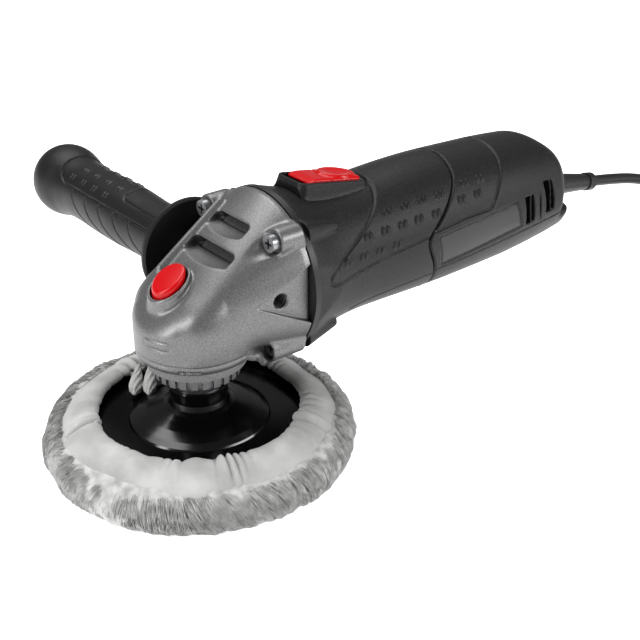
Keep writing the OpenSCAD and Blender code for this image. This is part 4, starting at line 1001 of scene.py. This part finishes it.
# Injection-moulded disc: near black, with mirror-like streaks of the lamps round the dome.
haze = add(tree, "ShaderNodeTexNoise", scale=70.0, detail=2.0)
tone = add(tree, "ShaderNodeMapRange", [("Value", haze.outputs["Fac"])])
tone.inputs["To Min"].default_value, tone.inputs["To Max"].default_value = 0.1, 0.24
tree.links.new(tone.outputs["Result"], shader.inputs["Roughness"])


def worn(name, colour, roughness, metallic, scale, depth):
    """A material with a fine uneven surface: scale is in features per metre, depth in mm."""
    material, tree, shader = new_material(name, colour, roughness, metallic)
    roughened(tree, shader, scale, 3.0, 0.3, depth)
    return material


# Each finish with what it gives the eye, and the parts that carry it.
FINISHES = [
    (gloss_black, ("backing_disc", "disc_insert")),
    # The cast cover shares the head's silver coat.
    (paint, ("bearing_cover",)),
    # Zinc-plated screws: bright and slightly mottled.
    (worn("bright_zinc_plate", "#8e8f91", 0.36, 1.0, 900, 0.1),
     ("head_screws", "rear_screws", "clamp_screws", "handle_stud", "spindle_clip", "pinion_nut")),
    # Ground bearing steel: a clean mirror-grey ring.
    (worn("ground_bearing_steel", "#a9abad", 0.2, 1.0, 1500, 0.05),
     ("spindle_bearing_outer", "spindle_bearing_inner", "front_bearing_outer",
      "front_bearing_inner", "rear_bearing_outer", "rear_bearing_inner")),
    # Sintered bronze: warm and dull.
    (worn("sintered_bronze", "#8a6a3f", 0.45, 1.0, 1200, 0.1), ("spindle_bush",)),
    # Turned shafts: grey steel with a soft line of light.
    (worn("turned_steel", "#7d7f82", 0.3, 1.0, 1000, 0.08),
     ("spindle", "armature_shaft", "lock_pin", "lock_spring")),
    # Hardened gears: darker, with an oil film.
    (worn("hardened_gear_steel", "#55575a", 0.34, 1.0, 1000, 0.08), ("crown_gear", "pinion")),
    # Silicon-steel laminations: dull bluish grey with fine edges.
    (worn("lamination_stack", "#5b5e63", 0.5, 0.8, 2500, 0.2), ("stator_core", "armature_core")),
    # Enamelled copper: warm red-brown and glossy.
    (worn("enamelled_copper", "#8c4a22", 0.28, 0.7, 1800, 0.3), ("field_coils", "armature_coils")),
    # Copper segments polished by the brushes.
    (worn("polished_commutator", "#b5764a", 0.22, 1.0, 1500, 0.05), ("commutator",)),
    # Brass strip: yellow and bright.
    (worn("brass_strip", "#b8954a", 0.3, 1.0, 1000, 0.08), ("brush_holders",)),
    # Pressed carbon: black and matt.
    (worn("pressed_carbon", "#1d1d1e", 0.6, 0.0, 2000, 0.1), ("brush_near", "brush_far")),
    # Unfilled black nylon inside the shells.
    (worn("inner_black_nylon", "#18181a", 0.45, 0.0, 900, 0.1),
     ("baffle_plate", "fan", "bearing_cup", "motor_bracket", "switch_module", "switch_rod",
      "cord_clamp")),
    # Capacitor case: pale blue-grey lacquer.
    (worn("lacquered_case", "#7f8790", 0.3, 0.0, 600, 0.05), ("capacitor",)),
    # The guard disc: thin black rubbery plastic with a dry sheen.
    (worn("matt_black_guard", "#101011", 0.5, 0.0, 1400, 0.15), ("handle_guard",)),
    # Soft PVC sleeve and lead.
    (rubber, ("strain_relief",)),
    # Plated contact pins.
    (worn("nickel_plate", "#c2c2be", 0.2, 1.0, 800, 0.05), ("plug_pins",)),
    # The hem cord itself, the same cotton as its ends.
    (yarn_cotton, ("drawstring",)),
]
for material, names in FINISHES:
    for name in names:
        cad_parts[name].data.materials.clear()
        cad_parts[name].data.materials.append(material)

# ---------- Return spring ----------
# The coil of turned-steel grey wire under the lock button. It stands on the casting and shortens
# as the button goes down; here it is a fixed copy of the CAD spring, its place baked into the
# mesh.
spring_at_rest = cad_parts["lock_spring"]
return_spring = put("return_spring", spring_at_rest.data.copy())
return_spring.matrix_world = spring_at_rest.matrix_world
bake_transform(return_spring)
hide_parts("lock_spring")
